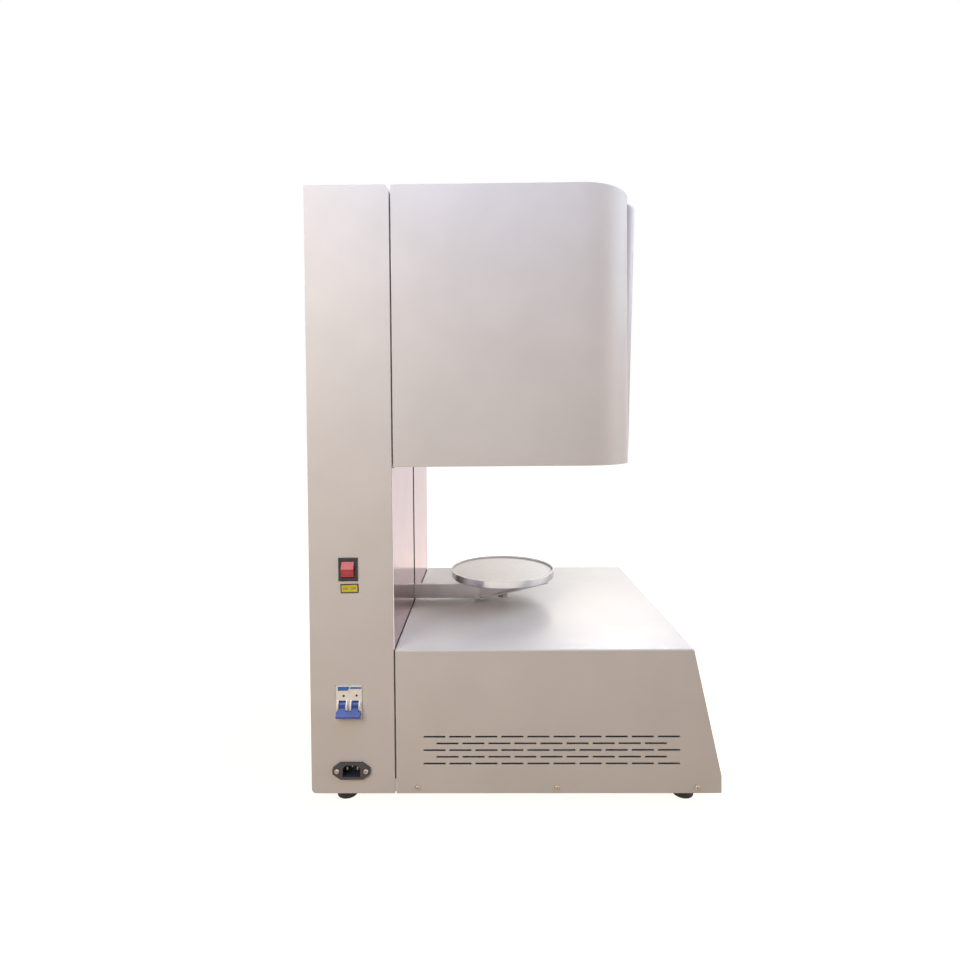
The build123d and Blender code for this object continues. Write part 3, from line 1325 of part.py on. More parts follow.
def breaker_rail():
    """Top-hat rail that the breaker is clipped to, welded to a post that stands on the pan."""
    back = breaker_x()[1]
    z = Z_CASE + BREAKER_HEIGHT
    half, sheet = DIN_RAIL_HEIGHT / 2, DIN_RAIL_SHEET
    crown = half - DIN_RAIL_BRIM
    low, high = back - sheet, back - sheet + DIN_RAIL_DEPTH
    outline = Polygon(
        (low, z + half),
        (low, z + crown - sheet),
        (high - sheet, z + crown - sheet),
        (high - sheet, z - crown + sheet),
        (low, z - crown + sheet),
        (low, z - half),
        (low + sheet, z - half),
        (low + sheet, z - crown),
        (high, z - crown),
        (high, z + crown),
        (low + sheet, z + crown),
        (low + sheet, z + half),
    )
    y = around(Y_BACK - BREAKER_BACK, DIN_RAIL_LENGTH)
    rail = along_y(outline, y)
    rail += block((high, high + RAIL_POST_SHEET), y, (Z_FLOOR, z + half))
    return rail + block((high, high + RAIL_POST_FOOT), y, (Z_FLOOR, Z_FLOOR + RAIL_POST_SHEET))


def inlet_screw_places():
    """The inlet's two screws, along Y."""
    return around(Y_BACK - INLET_BACK, INLET_SCREW_SPACING)


def inlet_flange_outline():
    """Flange of the inlet in its own plane: six-sided with blunt ends."""
    half, tall = INLET_LENGTH / 2, INLET_TALL / 2
    shoulder, nose = INLET_SHOULDER / 2, INLET_NOSE / 2
    points = []
    for sy, sz in ((1, 1), (-1, 1), (-1, -1), (1, -1)):
        pair = [(sy * half, sz * nose), (sy * shoulder, sz * tall)]
        points += pair if sy * sz > 0 else pair[::-1]
    outline = Polygon(*points)
    blunt = outline.vertices().filter_by(lambda v: abs(abs(v.X) - half) < FIT)
    return fillet(blunt, INLET_NOSE_ROUND)


def inlet_body():
    """Black flanged body of the mains inlet with its socket."""
    y, z = Y_BACK - INLET_BACK, Z_CASE + INLET_HEIGHT
    body = Pos(0, y, z) * along_x(inlet_flange_outline(), (-X_SIDE - INLET_FLANGE, -X_SIDE))
    body += block((-X_SIDE, -X_SIDE + INLET_DEPTH), around(y, INLET_BODY_LENGTH), around(z, INLET_BODY_TALL))
    floor = -X_SIDE - INLET_FLANGE + INLET_SOCKET_DEPTH
    socket = block((-X_SIDE - INLET_FLANGE, floor), around(y, INLET_SOCKET_LENGTH),
                   around(z, INLET_SOCKET_TALL))
    top = z + INLET_SOCKET_TALL / 2
    corners = [edge_near(socket, Axis.X, (floor, end, top)) for end in around(y, INLET_SOCKET_LENGTH)]
    body -= chamfer(corners, INLET_SOCKET_CHAMFER)
    for y_screw in inlet_screw_places():
        body -= rod_x(SCREW_RADIUS + HOLE_PLAY, (-X_SIDE - INLET_FLANGE, -X_SIDE), y_screw, z)
    for y_pin, z_pin in pin_places():
        body -= block((floor, -X_SIDE + INLET_DEPTH), around(y_pin, PIN_WIDE), around(z_pin, PIN_TALL))
    return body


def pin_places():
    """Three pins of the inlet, as (y, z): the middle one is raised."""
    y, z = Y_BACK - INLET_BACK, Z_CASE + INLET_HEIGHT
    return [(y - PIN_SPACING / 2, z), (y, z + PIN_RISE), (y + PIN_SPACING / 2, z)]


def inlet_pins():
    """Flat pins that stand in the socket and end in tails behind."""
    floor = -X_SIDE - INLET_FLANGE + INLET_SOCKET_DEPTH
    x = (floor - PIN_LENGTH, -X_SIDE + INLET_DEPTH + PIN_TAIL)
    return group([block(x, around(y, PIN_WIDE), around(z, PIN_TALL)) for y, z in pin_places()])


# Electrics in the base

def transformer_y():
    """Middle of the transformer along Y."""
    return Y_REAR_EDGE - TRANSFORMER_SETBACK


def window_size():
    """Width of each window in the transformer's core."""
    return (CORE_LENGTH - 4 * CORE_LIMB) / 2


def transformer_core():
    """Laminated core with two windows round the middle limb."""
    y = around(transformer_y(), CORE_STACK)
    core = block(around(TRANSFORMER_X, CORE_LENGTH), y, (Z_FLOOR, Z_FLOOR + CORE_HEIGHT))
    window = window_size()
    for side in (-1, 1):
        x = around(TRANSFORMER_X + side * (CORE_LIMB + window / 2), window)
        core -= block(x, y, (Z_FLOOR + CORE_LIMB, Z_FLOOR + CORE_HEIGHT - CORE_LIMB))
    return core


def transformer_coil():
    """Winding round the middle limb, standing out in front and behind."""
    z = (Z_FLOOR + CORE_LIMB + COIL_PLAY, Z_FLOOR + CORE_HEIGHT - CORE_LIMB - COIL_PLAY)
    outer_x = 2 * (CORE_LIMB + window_size() - COIL_PLAY)
    outer = Pos(TRANSFORMER_X, transformer_y()) * RectangleRounded(outer_x, CORE_STACK + 2 * COIL_OVERHANG,
                                                                   COIL_OVERHANG)
    inner = Pos(TRANSFORMER_X, transformer_y()) * Rectangle(2 * CORE_LIMB + 2 * COIL_PLAY,
                                                            CORE_STACK + 2 * COIL_PLAY)
    return along_z(outer - inner, z)


def heat_sink():
    """Extruded heat sink, fins upwards, open in the middle for the relay."""
    y = around(Y_REAR_EDGE - SINK_SETBACK, SINK_LENGTH)
    sink = block(around(SINK_X, SINK_WIDTH), y, (Z_FLOOR, Z_FLOOR + SINK_PLATE))
    pitch = (SINK_WIDTH - SINK_FIN) / (SINK_FINS - 1)
    for step in range(SINK_FINS):
        x = SINK_X - SINK_WIDTH / 2 + SINK_FIN / 2 + step * pitch
        if abs(x - SINK_X) > RELAY_WIDTH / 2 + SINK_FIN:
            sink += block(around(x, SINK_FIN), y, (Z_FLOOR + SINK_PLATE, Z_FLOOR + SINK_HEIGHT))
    return sink


def power_relay():
    """Solid state relay on the heat sink."""
    z = (Z_FLOOR + SINK_PLATE, Z_FLOOR + SINK_PLATE + RELAY_HEIGHT)
    relay = block(around(SINK_X, RELAY_WIDTH), around(Y_REAR_EDGE - SINK_SETBACK, RELAY_LENGTH), z)
    return chamfer(relay.faces().sort_by(Axis.Z)[-1].edges(), BEND_RADIUS)


def board_corners():
    """Fixing holes of the control board, as (x, y)."""
    x = BOARD_LENGTH / 2 - BOARD_HOLE_INSET
    y = BOARD_WIDTH / 2 - BOARD_HOLE_INSET
    middle = Y_REAR_EDGE - BOARD_SETBACK
    return [(BOARD_X + sx * x, middle + sy * y) for sx in (-1, 1) for sy in (-1, 1)]


def control_board():
    """Control board with the standoffs riveted into it and its larger components."""
    z = Z_FLOOR + STANDOFF_HEIGHT
    top = z + BOARD_THICKNESS
    y = Y_REAR_EDGE - BOARD_SETBACK
    board = block(around(BOARD_X, BOARD_LENGTH), around(y, BOARD_WIDTH), (z, top))
    row = BOARD_WIDTH / 4
    for step in range(BOARD_PARTS):
        x = BOARD_X - BOARD_PART_START + step * BOARD_PART_PITCH
        board += block(around(x, BOARD_PART_LENGTH), around(y + row, BOARD_PART_WIDTH),
                       (top, top + STANDOFF_HEIGHT))
        board += rod_z(STANDOFF_RADIUS, x, y - row, (top, top + 2 * STANDOFF_HEIGHT))
    for x, y in board_corners():
        board += rod_z(STANDOFF_RADIUS, x, y, (Z_FLOOR, z))
    return board


def all_pieces():
    """Every sub-part by its name."""
    return {
        "base_pan": base_pan(),
        "rubber_feet": rubber_feet(),
        "foot_bolts": foot_bolts(),
        "base_cover": base_cover(),
        "casing_screws": casing_screws(),
        "column_shell": column_shell(),
        "column_rear_panel": column_rear_panel(),
        "front_panel_left": front_panel(-1),
        "front_panel_right": front_panel(1),
        "head_shell": head_shell(),
        "head_bottom_plate": head_bottom_plate(),
        "head_top_plate": head_top_plate(),
        "head_fascia": head_fascia(),
        "screen_bezel": screen_bezel(),
        "touch_screen": touch_screen(),
        "display_board": display_board(),
        "chamber_can": chamber_can(),
        "insulation_ring": insulation_ring(),
        "insulation_roof": insulation_roof(),
        "chamber_lid": chamber_lid(),
        "mouth_trim": mouth_trim(),
        "heating_elements": heating_elements(),
        "element_holders": element_holders(),
        "element_straps": element_straps(),
        "thermocouple": thermocouple(),
        "tray_dish": tray_dish(),
        "ceramic_board": ceramic_board(),
        "tray_bracket": tray_bracket(),
        "tray_stud": tray_stud(),
        "arm_bar": arm_bar(),
        "arm_bolts": arm_bolts(),
        "carriage": carriage(),
        "lead_nut": lead_nut(),
        "linear_bushes": linear_bushes(),
        "sensor_flag": sensor_flag(),
        "position_sensors": position_sensors(),
        "lift_frame": lift_frame(),
        "end_plates": end_plates(),
        "screw_bearings": screw_bearings(),
        "guide_rods": guide_rods(),
        "lead_screw": lead_screw(),
        "motor_coupling": motor_coupling(),
        "motor_shaft": motor_shaft(),
        "motor_plate": motor_plate(),
        "lift_motor": lift_motor(),
        "head_frame": head_frame(),
        "fan_frame": fan_frame(),
        "fan_rotor": fan_rotor(),
        "switch_bezel": switch_bezel(),
        "rocker_button": rocker_button(),
        "breaker_body": breaker_body(),
        "breaker_handle": breaker_handle(),
        "breaker_rail": breaker_rail(),
        "inlet_body": inlet_body(),
        "inlet_pins": inlet_pins(),
        "transformer_core": transformer_core(),
        "transformer_coil": transformer_coil(),
        "heat_sink": heat_sink(),
        "power_relay": power_relay(),
        "control_board": control_board(),
    }


def main():
    """Writes one file for each sub-part."""
    os.makedirs("parts", exist_ok=True)
    pieces = all_pieces()
    for name, shape in pieces.items():
        export_step(shape, "parts/" + name + ".step")
    turns = LIFT_TRAVEL / THREAD_LEAD
    print(len(pieces), "sub-parts, lift travel", round(LIFT_TRAVEL, 2), "mm in", round(turns, 2), "turns")


main()
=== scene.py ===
# %% [markdown]
# # A dental porcelain furnace
# A dental laboratory fires ceramic crowns in a furnace like this one. It loads from below: a small
# tray carries the work up into a hot chamber in the overhanging head. The solid model of the
# furnace comes from the frame file, and this lesson dresses it: finishes first, then the small
# pieces that a solid model leaves plain, then the light and the camera.

# %% The frame
import json
import bpy
import numpy as np
from mathutils import Matrix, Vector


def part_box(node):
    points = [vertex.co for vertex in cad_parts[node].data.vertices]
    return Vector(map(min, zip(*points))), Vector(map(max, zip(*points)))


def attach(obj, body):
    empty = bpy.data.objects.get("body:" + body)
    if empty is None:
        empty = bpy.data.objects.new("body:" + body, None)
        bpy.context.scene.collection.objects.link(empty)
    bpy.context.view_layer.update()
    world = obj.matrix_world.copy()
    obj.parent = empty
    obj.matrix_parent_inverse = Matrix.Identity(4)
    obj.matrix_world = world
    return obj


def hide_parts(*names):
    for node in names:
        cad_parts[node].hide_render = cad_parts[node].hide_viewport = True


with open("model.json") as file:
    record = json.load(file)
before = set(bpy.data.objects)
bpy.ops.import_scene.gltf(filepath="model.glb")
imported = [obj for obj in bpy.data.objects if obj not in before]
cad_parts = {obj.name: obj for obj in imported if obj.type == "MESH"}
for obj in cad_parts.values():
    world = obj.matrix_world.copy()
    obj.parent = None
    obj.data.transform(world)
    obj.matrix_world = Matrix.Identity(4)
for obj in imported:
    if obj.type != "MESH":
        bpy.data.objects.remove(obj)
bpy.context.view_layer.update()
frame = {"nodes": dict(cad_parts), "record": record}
nodes = frame["nodes"]
MM = 0.001

# %% [markdown]
# A colour is easiest to think of as the six digits that a paint program shows. Blender mixes light,
# so it wants the linear amount of red, green and blue behind those digits. One function turns the
# one into the other.

# %% Colours
def colour(code):
    """Linear red, green, blue and alpha: shares under 0.04045 are divided by 12.92, others follow a 2.4 power."""
    share = np.array([int(code[i:i + 2], 16) for i in (0, 2, 4)]) / 255
    linear = np.where(share <= 0.04045, share / 12.92, ((share + 0.055) / 1.055) ** 2.4)
    return (*linear.tolist(), 1.0)


print("middle grey is", round(colour("808080")[0], 3), "of the light")

# %% [markdown]
# Every finish below is a small graph of nodes. One function adds a node, sets its values and joins
# its inputs, so that each recipe stays a short list.

# %% Adding a node
def add_node(tree, kind, settings=None, links=None):
    """Adds a node: settings are input values or properties by name, links are the outputs that feed its inputs."""
    node = tree.nodes.new(kind)
    for name, value in (settings or {}).items():
        if isinstance(name, int) or name in node.inputs:
            node.inputs[name].default_value = value
        else:
            setattr(node, name, value)
    for name, source in (links or {}).items():
        tree.links.new(source, node.inputs[name])
    return node


def start_finish(name, settings):
    """A new material with one Principled shader, and the values that are the same all over its surface."""
    material = bpy.data.materials.new(name)
    material.use_nodes = True
    tree = material.node_tree
    tree.nodes.clear()
    shader = add_node(tree, "ShaderNodeBsdfPrincipled", settings)
    add_node(tree, "ShaderNodeOutputMaterial", links={"Surface": shader.outputs["BSDF"]})
    return material, tree, shader


# %% [markdown]
# Real surfaces vary over several sizes at once: a paint has a fine skin texture and, over a hand's
# breadth, a faint drift of tone. Both are noise, once fine and once wide. The pattern is measured in
# millimetres on the object itself, so it stays the same size on every piece and never slides.

# %% Patterns measured in millimetres
MIX_A, MIX_B, MIX_RESULT = 6, 7, 2
NOISE_LOW, NOISE_HIGH = 0.3, 0.7
BEVEL_RAYS = 4


def grain(tree, size, detail=2.0, stretch=(1, 1, 1)):
    """Noise with lumps about size millimetres across; stretch draws them out along X, Y or Z."""
    place = add_node(tree, "ShaderNodeTexCoord")
    scale = [1 / (size * MM * s) for s in stretch]
    mapping = add_node(tree, "ShaderNodeMapping", {"Scale": scale}, {"Vector": place.outputs["Object"]})
    noise = add_node(tree, "ShaderNodeTexNoise", {"Scale": 1.0, "Detail": detail},
                     {"Vector": mapping.outputs["Vector"]})
    return noise.outputs["Fac"]


def tint(tree, shader, codes, pattern):
    """Colour that runs from the first code to the second as the pattern goes through most of its range."""
    share = add_node(tree, "ShaderNodeMapRange", {"From Min": NOISE_LOW, "From Max": NOISE_HIGH},
                     {"Value": pattern})
    first, second = (colour(code) for code in codes)
    mix = add_node(tree, "ShaderNodeMix", {"data_type": "RGBA", MIX_A: first, MIX_B: second},
                   {"Factor": share.outputs["Result"]})
    tree.links.new(mix.outputs[MIX_RESULT], shader.inputs["Base Color"])


def gloss(tree, shader, smooth, rough, pattern):
    """Roughness that wanders between two values with the pattern."""
    spread = add_node(tree, "ShaderNodeMapRange",
                      {"From Min": NOISE_LOW, "From Max": NOISE_HIGH, "To Min": smooth, "To Max": rough},
                      {"Value": pattern})
    tree.links.new(spread.outputs["Result"], shader.inputs["Roughness"])


def relief(tree, shader, pattern, height, edge):
    """Bumps of a height in millimetres; edge rounds the sharp corners of the piece by that many millimetres."""
    bump = add_node(tree, "ShaderNodeBump", {"Strength": 1.0, "Distance": height * MM}, {"Height": pattern})
    soft = add_node(tree, "ShaderNodeBevel", {"samples": BEVEL_RAYS, "Radius": edge * MM})
    tree.links.new(soft.outputs["Normal"], bump.inputs["Normal"])
    tree.links.new(bump.outputs["Normal"], shader.inputs["Normal"])


print("patterns are worked out from millimetres, so 1 mm is", MM, "of a Blender unit")

# %% [markdown]
# The casing is folded steel sheet with a powder coat. The powder is sprayed on dry and melts in an
# oven, which leaves a skin like fine orange peel: lumps of one or two millimetres, a few hundredths
# of a millimetre high. That skin breaks up the shine. The lumps are drawn a little wider and higher
# than they are, because finer ones would fall between the pixels.

# %% Powder coated steel
PAINT_IOR = 1.5
PEEL = 2.4
DRIFT = 90.0
GLOSS_SPREAD = 0.05
SOFT_FOLD = 1.2


def powder_coat(name, codes, peel_height, roughness):
    """Paint with an orange peel skin, a slight drift of tone and softened folds."""
    material, tree, shader = start_finish(name, {"IOR": PAINT_IOR, "Specular IOR Level": 0.5})
    tint(tree, shader, codes, grain(tree, DRIFT, 3.0))
    gloss(tree, shader, roughness - GLOSS_SPREAD, roughness + GLOSS_SPREAD, grain(tree, PEEL * 3))
    relief(tree, shader, grain(tree, PEEL, 3.0), peel_height, SOFT_FOLD)
    return material


grey_powder_coat = powder_coat("grey_powder_coat", ("D5D0CC", "CFCAC6"), 0.15, 0.42)
pale_powder_coat = powder_coat("pale_powder_coat", ("DAD7DA", "D5D2D6"), 0.08, 0.38)
black_enamel = powder_coat("black_enamel", ("2A2A2D", "232326"), 0.08, 0.35)
print("paints:", grey_powder_coat.name, pale_powder_coat.name, black_enamel.name)

# %% [markdown]
# Bare metals differ in their colour and in how they were worked. Rolling, brushing and turning all
# leave fine parallel lines, which is noise drawn out far along one direction. Zinc plating shows
# faint crystals, and polishing leaves little more than a soft waviness. A metal's reflection is its
# colour, so metallic is 1 and the IOR stays at its default. The polished panels are seen almost edge
# on, where steel keeps a faint tint of its own, so they also get a colour for slanting light.

# %% Metals
TONE_DRIFT = 40.0
DULLEST = 1.2
METAL_EDGE = 0.4


def worked_metal(name, codes, roughness, size, stretch=(1, 1, 1), height=0.01, metallic=1.0, slanting="FFFFFF"):
    """Metal with working marks of a size in millimetres, drawn out by stretch; slanting is its tint edge on."""
    material, tree, shader = start_finish(name, {"Metallic": metallic, "Specular Tint": colour(slanting)})
    marks = grain(tree, size, 3.0, stretch)
    tint(tree, shader, codes, grain(tree, TONE_DRIFT, 2.0))
    gloss(tree, shader, roughness * (2 - DULLEST), roughness * DULLEST, marks)
    relief(tree, shader, marks, height, METAL_EDGE)
    return material


LONG = 60
polished_stainless = worked_metal("polished_stainless", ("D6D2D5", "D2CBCD"), 0.16, 60.0, (1, 1, 2), 0.02,
                                  slanting="EEE2E4")
turned_stainless = worked_metal("turned_stainless", ("D2D2D6", "C4C4C8"), 0.16, 1.0, (1, 1, 0.6), 0.01)
blasted_stainless = worked_metal("blasted_stainless", ("C9C2C2", "B9B1B0"), 0.36, 0.8)
nickel_plated_steel = worked_metal("nickel_plated_steel", ("B4A494", "A29282"), 0.36, 0.6)
zinc_plated_steel = worked_metal("zinc_plated_steel", ("BEC2C4", "A9AEB2"), 0.36, 6.0)
rolled_steel = worked_metal("rolled_steel", ("ABABAB", "9C9B9A"), 0.38, 0.8, (1, LONG, 1))
ground_steel = worked_metal("ground_steel", ("C8C8CA", "BCBCBE"), 0.14, 0.5, (LONG, LONG, 1))
machined_aluminium = worked_metal("machined_aluminium", ("C6C9CB", "B8BBBE"), 0.28, 0.7, (LONG, 1, 1))
extruded_aluminium = worked_metal("extruded_aluminium", ("C9CCCF", "BDC0C4"), 0.34, 0.8, (1, LONG, 1))
turned_brass = worked_metal("turned_brass", ("BF9850", "AD8542"), 0.22, 0.5, (LONG, LONG, 1))
nickel_brass = worked_metal("nickel_brass", ("8E8678", "7C7568"), 0.34, 0.5)
oxidised_heater_alloy = worked_metal("oxidised_heater_alloy", ("56504B", "3E3A37"), 0.6, 1.5, metallic=0.6)
laminated_iron = worked_metal("laminated_iron", ("625D58", "4A4642"), 0.55, 0.5, (LONG, 1, LONG), 0.15,
                              metallic=0.7)
print("metals:", len([m for m in bpy.data.materials if "steel" in m.name or "stainless" in m.name]), "of steel")

# %% [markdown]
# Plastics are moulded. The tool's surface decides the finish: spark eroded steel leaves a matt grain
# of about half a millimetre, and a polished tool leaves gloss. The colour goes right through, so it
# varies very little. All of them bend light about as glass does, near 1.5.

# %% Moulded plastics
MELT_DRIFT = 15.0
MOULD_EDGE = 0.35
COAT_ROUGHNESS = 0.08
SKIN_SPREAD = 0.15


def moulded(name, codes, roughness, grain_size=0.8, height=0.03, ior=1.5, coat=0.0):
    """Plastic with the tool's grain on it and edges a third of a millimetre round."""
    material, tree, shader = start_finish(name, {"IOR": ior, "Coat Weight": coat,
                                                 "Coat Roughness": COAT_ROUGHNESS})
    skin = grain(tree, grain_size, 2.0)
    tint(tree, shader, codes, grain(tree, MELT_DRIFT, 2.0))
    gloss(tree, shader, roughness * (1 - SKIN_SPREAD), roughness * (1 + SKIN_SPREAD), skin)
    relief(tree, shader, skin, height, MOULD_EDGE)
    return material


black_nylon = moulded("black_nylon", ("1F1E20", "181719"), 0.5)
slate_nylon = moulded("slate_nylon", ("3A3A42", "32323A"), 0.4)
glossy_black_nylon = moulded("glossy_black_nylon", ("232226", "1A191C"), 0.24, height=0.01)
red_polycarbonate = moulded("red_polycarbonate", ("C02A3C", "AE2132"), 0.3, 2.0, 0.02, 1.58, coat=0.1)
cream_polyamide = moulded("cream_polyamide", ("FAF7F0", "F2EEE6"), 0.42)
blue_polyamide = moulded("blue_polyamide", ("1E4CA8", "183F92"), 0.34, height=0.02)
blue_ink = moulded("blue_ink", ("3A74BC", "306AB0"), 0.5, height=0.005)
cream_epoxy = moulded("cream_epoxy", ("DAD6C8", "CEC9BA"), 0.45)
solder_mask = moulded("solder_mask", ("1F5A38", "17492C"), 0.3, 1.2, 0.03)
taped_winding = moulded("taped_winding", ("B0683A", "93522A"), 0.5, 3.0, 0.2)
black_rubber = moulded("black_rubber", ("2C2725", "211D1B"), 0.75, 1.0, 0.05, 1.52)
print("plastics and rubber:", len(bpy.data.materials), "finishes so far")

# %% [markdown]
# The chamber and the tray's board are ceramic fibre: short white fibres pressed into a board, matt
# all through, with tiny pits. The holders of the heating elements are fired alumina, which is
# smoother and a little warmer.

# %% Ceramics
CERAMIC_IOR, CERAMIC_SHINE, CERAMIC_EDGE = 1.6, 0.3, 0.6
PIT_DETAIL, BLOTCH = 4.0, 6


def fired(name, codes, roughness, size, height):
    """Matt ceramic with pits of a size and height in millimetres, in blotches of a few pits."""
    material, tree, shader = start_finish(name, {"IOR": CERAMIC_IOR, "Specular IOR Level": CERAMIC_SHINE,
                                                 "Roughness": roughness})
    tint(tree, shader, codes, grain(tree, size * BLOTCH, PIT_DETAIL))
    relief(tree, shader, grain(tree, size, PIT_DETAIL), height, CERAMIC_EDGE)
    return material


ceramic_fibre = fired("ceramic_fibre", ("FCFAF7", "F5F3EF"), 0.9, 1.2, 0.25)
alumina = fired("alumina", ("EEEAE0", "E4DFD3"), 0.6, 0.8, 0.05)
print("ceramics:", ceramic_fibre.name, alumina.name)

# %% [markdown]
# The touch screen is glass over a dark panel. Glass that only shows black behind it needs no real
# transparency: a nearly black base under a clear, smooth coat gives the same deep reflection.

# %% Screen glass
SMUDGE = 25.0
GLASS_IOR, PANEL_SHINE = 1.52, 0.1
CLEAN_GLASS, SMUDGED_GLASS, GLASS_COAT = 0.05, 0.14, 0.03


def dark_glass():
    """Black panel under a smooth coat, with faint smudges in its gloss."""
    material, tree, shader = start_finish("touch_glass", {"IOR": GLASS_IOR, "Specular IOR Level": PANEL_SHINE,
                                                          "Coat Weight": 1.0, "Coat Roughness": GLASS_COAT})
    smudges = grain(tree, SMUDGE, 3.0)
    tint(tree, shader, ("0E1218", "141922"), smudges)
    gloss(tree, shader, CLEAN_GLASS, SMUDGED_GLASS, smudges)
    return material


touch_glass = dark_glass()
print("screen:", touch_glass.name)

# %% [markdown]
# The record names a finish slot for each solid piece. A dictionary says which material fills each
# slot, and one loop gives every piece its finish, so a piece can't be forgotten.

# %% Giving every solid its finish
FINISH_OF_SLOT = {
    "casing_paint": grey_powder_coat, "fascia_paint": pale_powder_coat, "motor_black": black_enamel,
    "polished_stainless": polished_stainless, "tray_steel": turned_stainless,
    "bracket_steel": blasted_stainless, "fastener_steel": nickel_plated_steel,
    "zinc_plate": zinc_plated_steel, "can_steel": rolled_steel, "bearing_steel": ground_steel,
    "strap_aluminium": extruded_aluminium, "carriage_aluminium": machined_aluminium,
    "sink_aluminium": extruded_aluminium, "nut_brass": turned_brass, "pin_brass": nickel_brass,
    "element_metal": oxidised_heater_alloy, "core_iron": laminated_iron,
    "black_plastic": black_nylon, "inlet_black": slate_nylon, "switch_black": glossy_black_nylon,
    "rocker_red": red_polycarbonate, "breaker_cream": cream_polyamide, "handle_blue": blue_polyamide,
    "relay_cream": cream_epoxy, "circuit_board": solder_mask, "coil_copper": taped_winding,
    "foot_rubber": black_rubber, "fibre_ceramic": ceramic_fibre, "white_ceramic": alumina,
    "screen_glass": touch_glass,
}
slot_of_node = {part["node"]: part["material_slot"] for part in frame["record"]["subparts"]}
for name, piece in nodes.items():
    for holder in piece.material_slots:
        holder.material = FINISH_OF_SLOT[slot_of_node[name]]
print("dressed", len(slot_of_node), "pieces with", len(set(FINISH_OF_SLOT.values())), "finishes")

# %% [markdown]
# The small pieces below are surfaces on a grid. One direction of the grid goes round an outline,
# the other steps through a profile: pairs of how far inwards and how high. Each ring is the outline
# moved inwards along its own normals. The two ends are closed by flat faces.

# %% Rings carried along a profile
def moved_in(outline, amount):
    """Every point of a closed outline (anticlockwise) moved inwards, at right angles to its neighbours' line."""
    along = np.roll(outline, -1, axis=0) - np.roll(outline, 1, axis=0)
    along /= np.linalg.norm(along, axis=1, keepdims=True)
    return outline + amount * np.stack([-along[:, 1], along[:, 0]], axis=1)


def grid_faces(rows, columns):
    """Quads of a grid whose columns close into a ring: each joins a point to its next and to the row above."""
    start = np.arange(rows - 1)[:, None] * columns
    here = np.arange(columns)[None, :]
    after = (here + 1) % columns
    above = start + columns
    return np.stack([start + here, start + after, above + after, above + here], axis=-1).reshape(-1, 4)


def make_piece(name, points, faces, material, body, smooth=True):
    """A mesh object at the origin, with its place in its mesh, its finish and the body it rides on."""
    mesh = bpy.data.meshes.new(name)
    mesh.from_pydata(points.tolist(), [], faces)
    mesh.update()
    if smooth:
        mesh.shade_smooth()
    else:
        mesh.shade_flat()
    mesh.materials.append(material)
    piece = bpy.data.objects.new(name, mesh)
    bpy.context.scene.collection.objects.link(piece)
    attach(piece, body)
    return piece


print("a 3 by 8 grid has", len(grid_faces(3, 8)), "faces")

# %% [markdown]
# A place on the furnace is an origin and three directions: across, up and outwards. On the column's
# left side, seen from outside, across runs towards the front.

# %% Places to build on
class Face:
    """A flat place: its origin and its directions across, up and outwards."""

    def __init__(self, origin, across, up):
        self.origin, self.across, self.up = (np.array(v, float) for v in (origin, across, up))
        self.out = np.cross(self.across, self.up)

    def points(self, flat, height):
        """Flat (across, up) pairs and their heights as points in space."""
        height = np.broadcast_to(np.asarray(height, float), (len(flat),))
        return self.origin + flat[:, :1] * self.across + flat[:, 1:] * self.up + height[:, None] * self.out


def box_of(node):
    """Lowest and highest corner of a solid piece as arrays."""
    low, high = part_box(node)
    return np.array(low), np.array(high)


column_low, column_high = box_of("column_shell")
left_side = column_low[0]
print("the column's left side is at x =", round(left_side / MM, 1), "mm")

# %% [markdown]
# A stamped or moulded plate is an outline with rounded corners and a profile over its edge.

# %% Plates with rounded corners
def rounded_outline(corners, radius, steps=6):
    """Anticlockwise outline: each corner is an arc that touches both of its sides at radius / tan(half angle)."""
    corners = np.array(corners, float)
    before = np.roll(corners, 1, axis=0) - corners
    after = np.roll(corners, -1, axis=0) - corners
    before /= np.linalg.norm(before, axis=1, keepdims=True)
    after /= np.linalg.norm(after, axis=1, keepdims=True)
    middle = (before + after) / np.linalg.norm(before + after, axis=1, keepdims=True)
    half = np.arccos(np.clip((before * after).sum(1), -1, 1)) / 2
    centre = corners + middle * (radius / np.sin(half))[:, None]
    turn = (np.pi / 2 - half)[:, None] * np.linspace(1, -1, steps)[None, :]
    c, s = np.cos(turn)[..., None], np.sin(turn)[..., None]
    side = np.stack([middle[:, 1], -middle[:, 0]], axis=1)[:, None, :]
    arcs = centre[:, None, :] - radius * (c * middle[:, None, :] + s * side)
    return arcs.reshape(-1, 2)


def rectangle(width, height, shift=(0, 0), lean=0.0):
    """Corners of a rectangle round a shift, anticlockwise; lean moves its top right corner inwards."""
    x, y = width / 2, height / 2
    flat = np.array([(-x, -y), (x, -y), (x - lean, y), (-x, y)])
    return flat + np.array(shift)


def plate(name, face, outline, profile, material, body, smooth=False):
    """Plate on a face: rings of the outline at each (inwards, height) of the profile, from back to front."""
    rings = [face.points(moved_in(outline, inwards), height) for inwards, height in profile]
    count = len(outline)
    faces = grid_faces(len(rings), count).tolist()
    last = (len(rings) - 1) * count
    faces += [list(range(count))[::-1], list(range(last, last + count))]
    return make_piece(name, np.concatenate(rings), faces, material, body, smooth)


ROUND_STEPS = 4


def edge_profile(thickness, round_off, foot=0.0):
    """A plate's edge, up its side and over a quarter circle: inwards r - r cos a, height t - r + r sin a."""
    angle = np.linspace(0, np.pi / 2, ROUND_STEPS)
    inwards = round_off * (1 - np.cos(angle))
    height = thickness - round_off + round_off * np.sin(angle)
    return [(0.0, foot)] + list(zip(inwards.tolist(), height.tolist()))


print("a square's rounded outline has", len(rounded_outline(rectangle(1, 1), 0.2)), "points")

